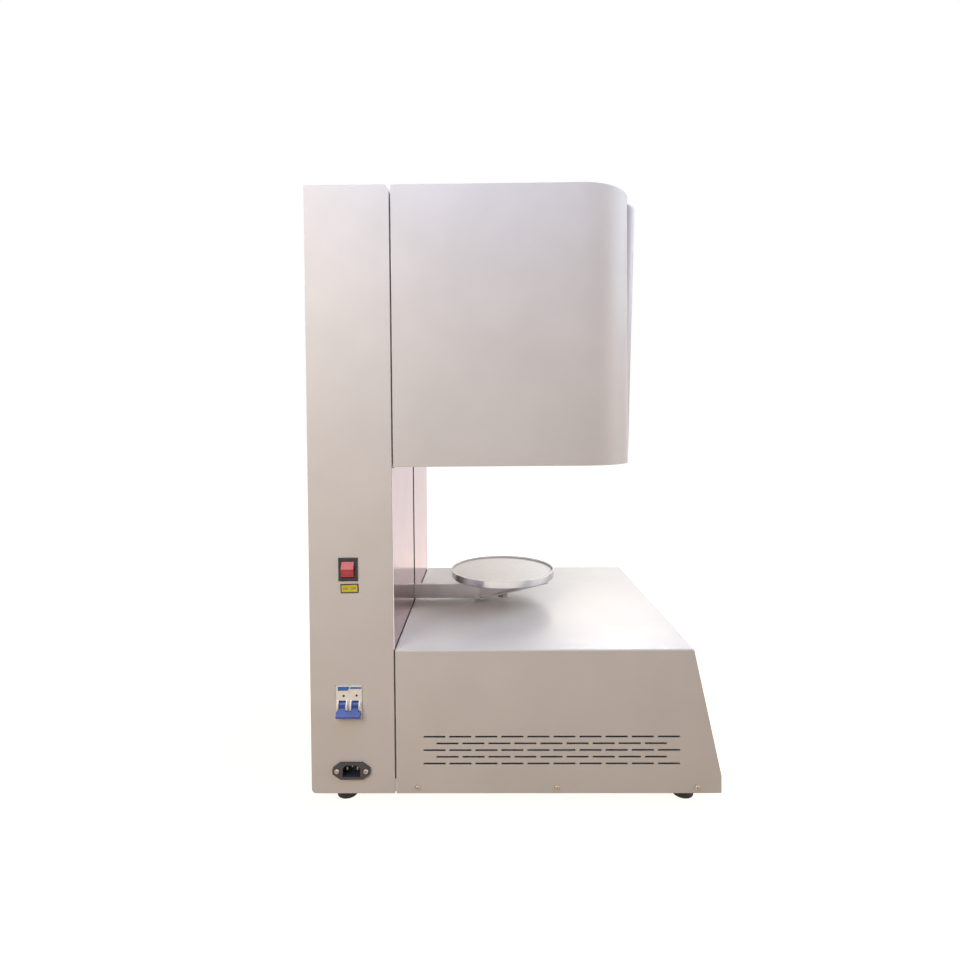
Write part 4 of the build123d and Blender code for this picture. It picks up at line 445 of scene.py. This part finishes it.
# %% [markdown]
# The head's front is a pale painted cover, thin at its foot and deeper at its top, so that the
# screen leans towards the user. Its outer edge is a slanting soft curve, which turns the light of
# the front towards the side. It is one closed grid: rings run up a low outer wall, over the curve,
# across the face to the screen's opening, down the opening's wall and back to the first ring.

# %% The head's front cover
COVER_FOOT, COVER_ROLL, COVER_CORNER, COVER_WALL = 2.5 * MM, 9.0 * MM, 10.0 * MM, 0.08
COVER_SLANT = np.radians(32)
OPENING_CORNER, SOFT_STEP = 1.0 * MM, 0.5 * MM
CURVE_STEPS = 8
cover_low, cover_high = box_of("head_fascia")
screen_low, screen_high = box_of("touch_screen")


def front_cover():
    """Rings of (x, z) with a share s of the depth: y is the head's face less s times the depth at z.

    Over the curve s follows the sine of an angle and the inset its cosine, from COVER_SLANT to a right angle.
    """
    size, middle = cover_high - cover_low, (cover_low + cover_high) / 2
    outer = rounded_outline(rectangle(size[0], size[2], middle[[0, 2]]), COVER_CORNER)
    size, middle = screen_high - screen_low, (screen_low + screen_high) / 2
    opening = rounded_outline(rectangle(size[0], size[2], middle[[0, 2]]), OPENING_CORNER)
    angle = np.linspace(COVER_SLANT, np.pi / 2, CURVE_STEPS)
    rise = (np.sin(angle) - np.sin(COVER_SLANT)) / (1 - np.sin(COVER_SLANT))
    shares = COVER_WALL + (1 - COVER_WALL) * rise
    insets = COVER_ROLL * (1 - np.cos(angle) / np.cos(COVER_SLANT))
    rings = [(outer, 0.0)] + [(moved_in(outer, inset), share) for inset, share in zip(insets, shares)]
    rings += [(moved_in(outer, COVER_ROLL + SOFT_STEP), 1.0), (moved_in(opening, -SOFT_STEP), 1.0),
              (opening, 1.0), (opening, 0.0)]
    lean = (cover_high[1] - cover_low[1] - COVER_FOOT) / (cover_high[2] - cover_low[2])
    flat = np.concatenate([outline for outline, share in rings])
    share = np.repeat([share for outline, share in rings], len(outer))
    depth = COVER_FOOT + lean * (flat[:, 1] - cover_low[2])
    return np.stack([flat[:, 0], cover_high[1] - share * depth, flat[:, 1]], axis=1), len(rings), len(outer)


points, rows, count = front_cover()
cover = make_piece("rolled_front_cover", points, (grid_faces(rows + 1, count) % (rows * count)).tolist(),
                   pale_powder_coat, "casing")
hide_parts("head_fascia")
print("front cover of", rows, "rings")

# %% [markdown]
# Below the rocker switch sits a small yellow plate with a black rim. Such a plate says which way is
# on, so it carries the two plain words of any switch. It is a thin black plate, a yellow field on
# it, and letters made from a font and turned to mesh.

# %% The plate below the switch
PLATE_WIDTH, PLATE_HEIGHT, PLATE_THICKNESS = 24.8 * MM, 12.5 * MM, 0.8 * MM
PLATE_DROP, PLATE_SHIFT, PLATE_RIM = 4.0 * MM, 1.7 * MM, 1.5 * MM
PLATE_TILT = np.radians(1.5)
RIM_CORNER, RIM_ROUND, RIM_SHARE = 1.0 * MM, 0.2 * MM, 0.8
FIELD_CORNER, FIELD_ROUND, FIELD_FOOT = 0.5 * MM, 0.1 * MM, 0.5
LETTER_HEIGHT, LETTER_LIFT = 3.3 * MM, 0.05 * MM
yellow_label = moulded("yellow_label", ("D8C63E", "C4B236"), 0.4, 1.5, 0.02)
black_print = moulded("black_print", ("34301F", "2A271A"), 0.5, 1.0, 0.01)

bezel_low, bezel_high = box_of("switch_bezel")
plate_y = (bezel_low[1] + bezel_high[1]) / 2 - PLATE_SHIFT
plate_z = bezel_low[2] - PLATE_DROP - PLATE_HEIGHT / 2
level, climb = np.cos(PLATE_TILT), np.sin(PLATE_TILT)
plate_face = Face((left_side, plate_y, plate_z), (0, -level, climb), (0, climb, level))
rim_outline = rounded_outline(rectangle(PLATE_WIDTH, PLATE_HEIGHT), RIM_CORNER)
plate("switch_plate_rim", plate_face, rim_outline, edge_profile(PLATE_THICKNESS * RIM_SHARE, RIM_ROUND),
      black_print, "casing")
yellow_field = rectangle(PLATE_WIDTH - 2 * PLATE_RIM, PLATE_HEIGHT - 2 * PLATE_RIM)
plate("switch_plate_field", plate_face, rounded_outline(yellow_field, FIELD_CORNER),
      edge_profile(PLATE_THICKNESS, FIELD_ROUND, foot=PLATE_THICKNESS * FIELD_FOOT), yellow_label, "casing")
print("plate at height", round(plate_z / MM), "mm")

# %% Letters on the plate
def letters(name, words, face, height, lift, material, body):
    """Flat words set in the default font, made a mesh, scaled to a height and laid on a face."""
    curve = bpy.data.curves.new(name + "_curve", "FONT")
    curve.body = words
    curve.align_x = "CENTER"
    curve.extrude = 0.0
    holder = bpy.data.objects.new(name + "_holder", curve)
    bpy.context.scene.collection.objects.link(holder)
    bpy.context.view_layer.update()
    flat = bpy.data.meshes.new_from_object(holder.evaluated_get(bpy.context.evaluated_depsgraph_get()))
    bpy.data.objects.remove(holder)
    spots = np.zeros(len(flat.vertices) * 3)
    flat.vertices.foreach_get("co", spots)
    spots = spots.reshape(-1, 3)[:, :2]
    middle = (spots.min(0) + spots.max(0)) / 2
    scale = height / (spots[:, 1].max() - spots[:, 1].min())
    faces = [list(polygon.vertices) for polygon in flat.polygons]
    points = face.points((spots - middle) * scale, lift)
    return make_piece(name, points, faces, material, body, smooth=False)


letters("switch_plate_words", "ON  OFF", plate_face, LETTER_HEIGHT, PLATE_THICKNESS + LETTER_LIFT,
        black_print, "casing")

# %% [markdown]
# The breaker's nose carries two blue strips above its handle and two small test holes. The
# strips are thin plates in the colour of blue ink; the left one ends in a slant. The holes are not
# cut: a shallow black dish stands on the nose for each, painted shade for the dark inside of a hole.

# %% Strips on the breaker, and its test holes as painted shade
breaker_low, breaker_high = box_of("breaker_body")
NOSE_FACE = 1.0 * MM
breaker_y = (breaker_low[1] + breaker_high[1]) / 2
breaker_z = (breaker_low[2] + breaker_high[2]) / 2
nose = Face((left_side - NOSE_FACE, breaker_y, breaker_z), (0, -1, 0), (0, 0, 1))
STRIP_THICKNESS, STRIP_CORNER, STRIP_ROUND = 0.5 * MM, 0.3 * MM, 0.15 * MM
STRIPS = {
    "breaker_strip_rear": rectangle(13.6 * MM, 5.3 * MM, (-8.4 * MM, 18.6 * MM), lean=-2.6 * MM),
    "breaker_strip_front": rectangle(15.4 * MM, 2.4 * MM, (9.4 * MM, 19.6 * MM)),
}
for name, corners in STRIPS.items():
    plate(name, nose, rounded_outline(corners, STRIP_CORNER), edge_profile(STRIP_THICKNESS, STRIP_ROUND),
          blue_ink, "casing")


def circle(radius, centre=(0, 0), steps=24):
    """Points of a circle: centre plus radius times cosine and sine."""
    angle = np.linspace(0, 2 * np.pi, steps, endpoint=False)
    return np.array(centre) + radius * np.stack([np.cos(angle), np.sin(angle)], axis=1)


HOLE_SHADE_RADIUS = 1.5 * MM
HOLE_SHADE_DISH = [(0.0, 0.0), (0.0, 0.35 * MM), (0.3 * MM, 0.4 * MM), (0.6 * MM, 0.1 * MM)]
# Painted shade: each test hole is a shallow black dish, dark by its colour and not by a real hole.
for name, spot in {"breaker_test_rear": (-7.2, 8.6), "breaker_test_front": (10.5, 9.2)}.items():
    plate(name, nose, circle(HOLE_SHADE_RADIUS, np.array(spot) * MM), HOLE_SHADE_DISH, black_nylon, "casing")
print("breaker nose dressed with", len(STRIPS), "strips")

# %% [markdown]
# The pan head screws have a cross recess. The solid model leaves it out, so each screw is drawn
# again: a grid of rings and angles whose height is a dome, less a trough wherever the point lies
# near one of the two bars of a cross. The places are read from the solid screws' own points.

# %% Screws with a cross recess
HEAD_RADIUS, HEAD_HEIGHT, SHANK_RADIUS, SHANK_LENGTH = 3.5 * MM, 2.4 * MM, 2.0 * MM, 7.0 * MM
CROSS_REACH, CROSS_WIDTH, CROSS_DEPTH = 2.3 * MM, 0.55 * MM, 1.5 * MM
SAME_HEAD = 2.2 * HEAD_RADIUS
SCREW_STEPS, DOME_RINGS, DOME_FALL = 48, 22, 0.75
FIRST_RING, UNDER_HEAD = 0.02, 0.6
WALL_SHARE, SLOPE_SHARE = 0.3, 0.5
NEXT_SCREW_TURN = 0.7


def head_places(points, axis, sign, face):
    """Middles of the screw heads that stand out past a face: points within a head's width are one head."""
    standing = points[sign * points[:, axis] > sign * face + HEAD_HEIGHT / 2]
    across = [i for i in range(3) if i != axis]
    places = []
    while len(standing):
        near = np.linalg.norm(standing[:, across] - standing[0, across], axis=1) < SAME_HEAD
        head = standing[near]
        middle = (head.min(0) + head.max(0)) / 2
        middle[axis] = (sign * head[:, axis]).max() * sign - sign * HEAD_HEIGHT
        places.append(middle)
        standing = standing[~near]
    return places


def screw_surface():
    """Points (across, up, height) and faces of one screw, from the middle of its head to its shank's end.

    The dome's height falls with the fourth power of the reach; the cross takes the lesser of |x| and |y|.
    """
    angle = np.linspace(0, 2 * np.pi, SCREW_STEPS, endpoint=False)
    shank = SHANK_RADIUS / HEAD_RADIUS
    reach = np.concatenate([np.linspace(FIRST_RING, 1, DOME_RINGS), [1.0, UNDER_HEAD, shank, shank]])
    dome = HEAD_HEIGHT * (1 - DOME_FALL * np.clip(reach, 0, 1) ** 4)
    dome[DOME_RINGS:] = [0, 0, 0, -SHANK_LENGTH]
    x = HEAD_RADIUS * reach[:, None] * np.cos(angle)
    y = HEAD_RADIUS * reach[:, None] * np.sin(angle)
    distance = np.hypot(x, y)
    bar = np.minimum(np.abs(x), np.abs(y))
    wall = np.clip((CROSS_WIDTH - bar) / (WALL_SHARE * CROSS_WIDTH), 0, 1)
    slope = np.clip((CROSS_REACH - distance) / (SLOPE_SHARE * CROSS_REACH), 0, 1)
    top = (np.arange(len(reach)) < DOME_RINGS)[:, None]
    z = np.broadcast_to(dome[:, None], x.shape) - top * CROSS_DEPTH * wall * slope
    faces = grid_faces(len(reach), len(angle))[:, ::-1].tolist()
    last = (len(reach) - 1) * len(angle)
    faces += [list(range(len(angle))), list(range(last, last + len(angle)))[::-1]]
    return np.stack([x.ravel(), y.ravel()], axis=1), z.ravel(), faces


spots = np.array([v.co for v in nodes["casing_screws"].data.vertices])
flat, height, faces = screw_surface()
all_points, all_faces = [], []
for axis, sign, face_at, across, up in (
        (0, -1, column_low[0], (0, -1, 0), (0, 0, 1)),
        (0, 1, column_high[0], (0, 1, 0), (0, 0, 1)),
        (1, 1, column_high[1], (-1, 0, 0), (0, 0, 1))):
    for place in head_places(spots, axis, sign, face_at):
        turn = len(all_points) * NEXT_SCREW_TURN
        turned = np.stack([flat[:, 0] * np.cos(turn) - flat[:, 1] * np.sin(turn),
                           flat[:, 0] * np.sin(turn) + flat[:, 1] * np.cos(turn)], axis=1)
        all_faces += [[i + len(flat) * len(all_points) for i in quad] for quad in faces]
        all_points.append(Face(place, across, up).points(turned, height))
screws = make_piece("recessed_screws", np.concatenate(all_points), all_faces, nickel_plated_steel,
                    "casing")
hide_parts("casing_screws")
print(len(all_points), "screws drawn")

# %% [markdown]
# The lead screw turns in its nut to lift the tray. Its thread is a trapezoid wave that winds round
# the bar: the radius depends on height divided by lead, less the angle divided by a full turn.

# %% The lead screw's thread
LEAD, THREAD_DEPTH, THREAD_RADIUS = 8.0 * MM, 1.6 * MM, 8.0 * MM
screw_low, screw_high = box_of("lead_screw")
plate_low, plate_high = box_of("end_plates")
END_PLATE = 12.0 * MM
JOURNAL_RADIUS = 5.0 * MM
ROWS_PER_TURN, AROUND = 12, 40
CREST, FLANK = 2.6, 8


def thread_points(bottom, top, thread_from, thread_to):
    """Grid of height and angle: plain journals at both ends, and between them a trapezoid wave that winds up."""
    turns = (thread_to - thread_from) / LEAD
    rising = np.linspace(thread_from, thread_to, int(turns * ROWS_PER_TURN))
    z = np.concatenate([[bottom, thread_from], rising, [thread_to, top]])
    angle = np.linspace(0, 2 * np.pi, AROUND, endpoint=False)
    phase = (z[:, None] / LEAD - angle[None, :] / (2 * np.pi)) % 1.0
    ridge = np.clip(CREST - FLANK * np.abs(phase - 0.5), 0, 1)
    radius = THREAD_RADIUS - THREAD_DEPTH * (1 - ridge)
    radius[[0, 1, -2, -1]] = JOURNAL_RADIUS
    middle = (screw_low + screw_high) / 2
    return np.stack([middle[0] + radius * np.cos(angle), middle[1] + radius * np.sin(angle),
                     np.broadcast_to(z[:, None], radius.shape)], axis=-1).reshape(-1, 3), len(z)


points, rows = thread_points(screw_low[2], screw_high[2], plate_low[2] + END_PLATE, plate_high[2] - END_PLATE)
faces = grid_faces(rows, AROUND).tolist()
last = (rows - 1) * AROUND
faces += [list(range(AROUND))[::-1], list(range(last, last + AROUND))]
thread = make_piece("threaded_lead_screw", points, faces, ground_steel, "screw")
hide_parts("lead_screw")
print("thread of", rows, "rows")

# %% [markdown]
# The screen in front shows a firing program: temperature against time as one bright line over a
# grey panel, and a row of touch keys. They lie on the glass as very thin raised pieces that glow a
# little, each rounded as touch keys are.

# %% Pictures on the touch screen
GLOW = 0.9
KEYS, KEY_WIDTH, KEY_HEIGHT = 5, 22.0 * MM, 13.0 * MM
GRAPH_WIDTH, GRAPH_HEIGHT, LINE_WIDTH = 132.0 * MM, 46.0 * MM, 1.2 * MM
LAYER = 0.15 * MM
PANEL_ROUGHNESS, PANEL_DRIFT = 0.3, 20.0
GRAPH_RISE, KEY_DROP, SCREEN_CORNER = 12 * MM, -29 * MM, 2 * MM
GRAPH_SIDE, GRAPH_END = 10 * MM, 8 * MM


def glowing(name, codes):
    """Smooth lit panel: its colour is also what it gives off."""
    material, tree, shader = start_finish(name, {"Roughness": PANEL_ROUGHNESS, "Emission Strength": GLOW,
                                                 "Emission Color": colour(codes[0])})
    tint(tree, shader, codes, grain(tree, PANEL_DRIFT))
    return material


key_blue = glowing("key_blue", ("2E6C9E", "28608E"))
graph_grey = glowing("graph_grey", ("2A3440", "26303A"))
line_orange = glowing("line_orange", ("F0A23C", "E8922C"))


def screen_face():
    """The glass's front plane, through the solid glass's lowest front corner and its foremost, highest one."""
    co = np.array([v.co for v in nodes["touch_screen"].data.vertices])
    low_front = co[np.argmin(co[:, 2] * 10 + co[:, 1])]
    high_front = co[np.argmin(co[:, 1] - co[:, 2] * 0.001)]
    up = np.array([0, high_front[1] - low_front[1], high_front[2] - low_front[2]])
    up /= np.linalg.norm(up)
    return Face((0, (high_front[1] + low_front[1]) / 2, (high_front[2] + low_front[2]) / 2), (1, 0, 0), up)


glass = screen_face()
graph_field = rectangle(GRAPH_WIDTH + GRAPH_SIDE, GRAPH_HEIGHT + GRAPH_END, (0, GRAPH_RISE))
plate("screen_graph_panel", glass, rounded_outline(graph_field, SCREEN_CORNER), edge_profile(LAYER, LAYER / 2),
      graph_grey, "casing")
for step in range(KEYS):
    shift = (step - (KEYS - 1) / 2) * (GRAPH_WIDTH / KEYS)
    outline = rounded_outline(rectangle(KEY_WIDTH, KEY_HEIGHT, (shift, KEY_DROP)), SCREEN_CORNER)
    plate("screen_key_" + str(step + 1), glass, outline, edge_profile(LAYER, LAYER / 2), key_blue, "casing")


def ribbon(points, width):
    """Outline of a line with a width: the points moved to one side, then back along the other."""
    along = np.gradient(points, axis=0)
    along /= np.linalg.norm(along, axis=1, keepdims=True)
    side = np.stack([along[:, 1], -along[:, 0]], axis=1) * width / 2
    return points + side, points - side


LINE_POINTS, SMOOTHING = 80, 9
PROGRAM_TIMES = [0, 0.12, 0.45, 0.52, 0.68, 0.74, 1]
PROGRAM_HEATS = [0.05, 0.1, 0.82, 0.84, 0.84, 0.8, 0.12]
time = np.linspace(0, 1, LINE_POINTS)
heat = np.interp(time, PROGRAM_TIMES, PROGRAM_HEATS)
heat = np.convolve(np.pad(heat, SMOOTHING // 2, mode="edge"), np.ones(SMOOTHING) / SMOOTHING, mode="valid")
route = np.stack([(time - 0.5) * GRAPH_WIDTH, (heat - 0.5) * GRAPH_HEIGHT + GRAPH_RISE], axis=1)
one_side, other_side = ribbon(route, LINE_WIDTH)
count = len(route)
line_points = glass.points(np.concatenate([one_side, other_side]), 2 * LAYER)
line_faces = [[i, i + 1, count + i + 1, count + i] for i in range(count - 1)]
make_piece("screen_program_line", line_points, line_faces, line_orange, "casing", smooth=False)
print("screen shows", KEYS, "keys and one curve of", count, "points")

# %% [markdown]
# The floor is a plain pale sheet, wide enough that its edge is never seen. Where the camera, a
# mirror or glass looks at it, a light of its own brings it up to paper white: all of the way far
# off, so that no horizon shows, and a little less round the object, which leaves room for a soft
# shadow. The light that it throws back on the object is that of a warm bench top.

# %% Floor
FLOOR_HALF = 12.0
NEAR_GLOW, NEAR_REACH, FAR_REACH = 0.88, 0.6, 1.6
BENCH_ROUGHNESS = 0.8


def looked_at(tree):
    """1 for a ray from the camera, a mirror or glass, 0 for the light that falls on things."""
    rays = add_node(tree, "ShaderNodeLightPath")
    seen = add_node(tree, "ShaderNodeMath", {"operation": "MAXIMUM"},
                    {0: rays.outputs["Is Camera Ray"], 1: rays.outputs["Is Glossy Ray"]})
    seen = add_node(tree, "ShaderNodeMath", {"operation": "MAXIMUM"},
                    {0: seen.outputs[0], 1: rays.outputs["Is Transmission Ray"]})
    return seen.outputs[0]


def pale_floor():
    """Matt bench top that glows where it is looked at: NEAR_GLOW round the object, 1 from FAR_REACH metres."""
    material, tree, shader = start_finish("pale_floor", {"Roughness": BENCH_ROUGHNESS, "Specular IOR Level": 0.0,
                                                         "Base Color": colour("BEA280"),
                                                         "Emission Color": colour("FFFFFF")})
    place = add_node(tree, "ShaderNodeTexCoord")
    away = add_node(tree, "ShaderNodeVectorMath", {"operation": "LENGTH"}, {0: place.outputs["Object"]})
    glow = add_node(tree, "ShaderNodeMapRange",
                    {"From Min": NEAR_REACH, "From Max": FAR_REACH, "To Min": NEAR_GLOW},
                    {"Value": away.outputs["Value"]})
    shine = add_node(tree, "ShaderNodeMath", {"operation": "MULTIPLY"},
                     {0: glow.outputs["Result"], 1: looked_at(tree)})
    tree.links.new(shine.outputs[0], shader.inputs["Emission Strength"])
    return material


floor_mesh = bpy.data.meshes.new("floor")
corners = [(-FLOOR_HALF, -FLOOR_HALF, 0), (FLOOR_HALF, -FLOOR_HALF, 0), (FLOOR_HALF, FLOOR_HALF, 0),
           (-FLOOR_HALF, FLOOR_HALF, 0)]
floor_mesh.from_pydata(corners, [], [[0, 1, 2, 3]])
floor_mesh.materials.append(pale_floor())
floor = bpy.data.objects.new("floor", floor_mesh)
bpy.context.scene.collection.objects.link(floor)
print("floor", 2 * FLOOR_HALF, "m wide")

# %% [markdown]
# The light is that of a photographer's table: a white surround that the camera sees as pure white,
# and that lights the object only a little, and five lamps. A large one above the front lights the
# upper faces, and one nearly straight ahead lights the front and the head's round corner. A smaller one at
# the right reaches in under the head and draws the tray's shadow on the base. One stands high at
# the rear left: it is near, so the light on the casing falls off from top to bottom. The last is
# close above the head and bluish, as light from a window would be.

# %% Surround and lamps
SURROUND = 0.18


def bright_room():
    """White where a camera, mirror or glass looks; a softer grey for the light that falls on the object."""
    world = bpy.data.worlds.new("bright_room")
    world.use_nodes = True
    tree = world.node_tree
    tree.nodes.clear()
    strength = add_node(tree, "ShaderNodeMapRange", {"To Min": SURROUND, "To Max": 1.0},
                        {"Value": looked_at(tree)})
    sky = add_node(tree, "ShaderNodeBackground", {"Color": colour("FFFFFF")},
                   {"Strength": strength.outputs["Result"]})
    add_node(tree, "ShaderNodeOutputWorld", links={"Surface": sky.outputs["Background"]})
    bpy.context.scene.world = world


def soft_lamp(name, place, target, size, power, code):
    """Square area lamp at a place, turned towards a target."""
    lamp = bpy.data.lights.new(name, "AREA")
    lamp.size = size
    lamp.energy = power
    lamp.color = colour(code)[:3]
    holder = bpy.data.objects.new(name, lamp)
    back = np.array(place, float) - np.array(target, float)
    back /= np.linalg.norm(back)
    right = np.cross((0, 0, 1), back)
    right /= np.linalg.norm(right)
    axes = np.stack([right, np.cross(back, right), back], axis=1)
    matrix = np.eye(4)
    matrix[:3, :3] = axes
    matrix[:3, 3] = place
    holder.matrix_world = Matrix(matrix.tolist())
    bpy.context.scene.collection.objects.link(holder)


bright_room()
MIDDLE = (0, 0, 0.5)
soft_lamp("lamp_above_front", (0.2, -1.5, 1.6), MIDDLE, 1.5, 21.0, "CBE4FF")
soft_lamp("lamp_front", (-0.4, -2.2, 0.8), MIDDLE, 1.5, 18.0, "FFECE2")
soft_lamp("lamp_right", (1.0, -0.4, 0.95), MIDDLE, 0.45, 7.4, "FFF8F0")
soft_lamp("lamp_rear_left", (-1.1, 0.75, 1.0), MIDDLE, 0.8, 10.5, "FFF5E8")
soft_lamp("lamp_window", (-0.55, 0.1, 1.25), MIDDLE, 0.5, 3.0, "B0CAFF")

# %% [markdown]
# The camera stands at the furnace's left side, a metre away, a little above half its height. Its
# place and lens were found from the edges of the casing, so that the render lines up with the
# photograph. It looks a shade downwards; the lens is shifted down rather than tilted further, which
# keeps the upright edges upright.

# %% Camera
CAMERA_PLACE = (-0.9919, 0.0364, 0.5330)
CAMERA_YAW, CAMERA_PITCH, CAMERA_ROLL = -0.0115, 0.0191, -0.0080
LENS, SENSOR, SHIFT = 21.34, 36.0, -0.05


def look(yaw, pitch, roll):
    """Columns of a camera's turn: right, up and backwards, from its turn to the side, tilt down and roll."""
    ahead = np.array([np.cos(yaw) * np.cos(pitch), -np.sin(yaw) * np.cos(pitch), -np.sin(pitch)])
    right = np.array([-np.sin(yaw), -np.cos(yaw), 0.0])
    up = np.cross(right, ahead)
    rolled_right = right * np.cos(roll) + up * np.sin(roll)
    rolled_up = up * np.cos(roll) - right * np.sin(roll)
    return np.stack([rolled_right, rolled_up, -ahead], axis=1)


lens = bpy.data.cameras.new("camera")
lens.lens, lens.sensor_width, lens.shift_y = LENS, SENSOR, SHIFT
lens.clip_start, lens.clip_end = 0.01, 100.0
camera = bpy.data.objects.new("camera", lens)
matrix = np.eye(4)
matrix[:3, :3] = look(CAMERA_YAW, CAMERA_PITCH, CAMERA_ROLL)
matrix[:3, 3] = CAMERA_PLACE
camera.matrix_world = Matrix(matrix.tolist())
bpy.context.scene.collection.objects.link(camera)
bpy.context.scene.camera = camera
bpy.context.scene.view_settings.view_transform = "Standard"
print("camera looks along", [round(-v, 3) for v in matrix[:3, 2]])
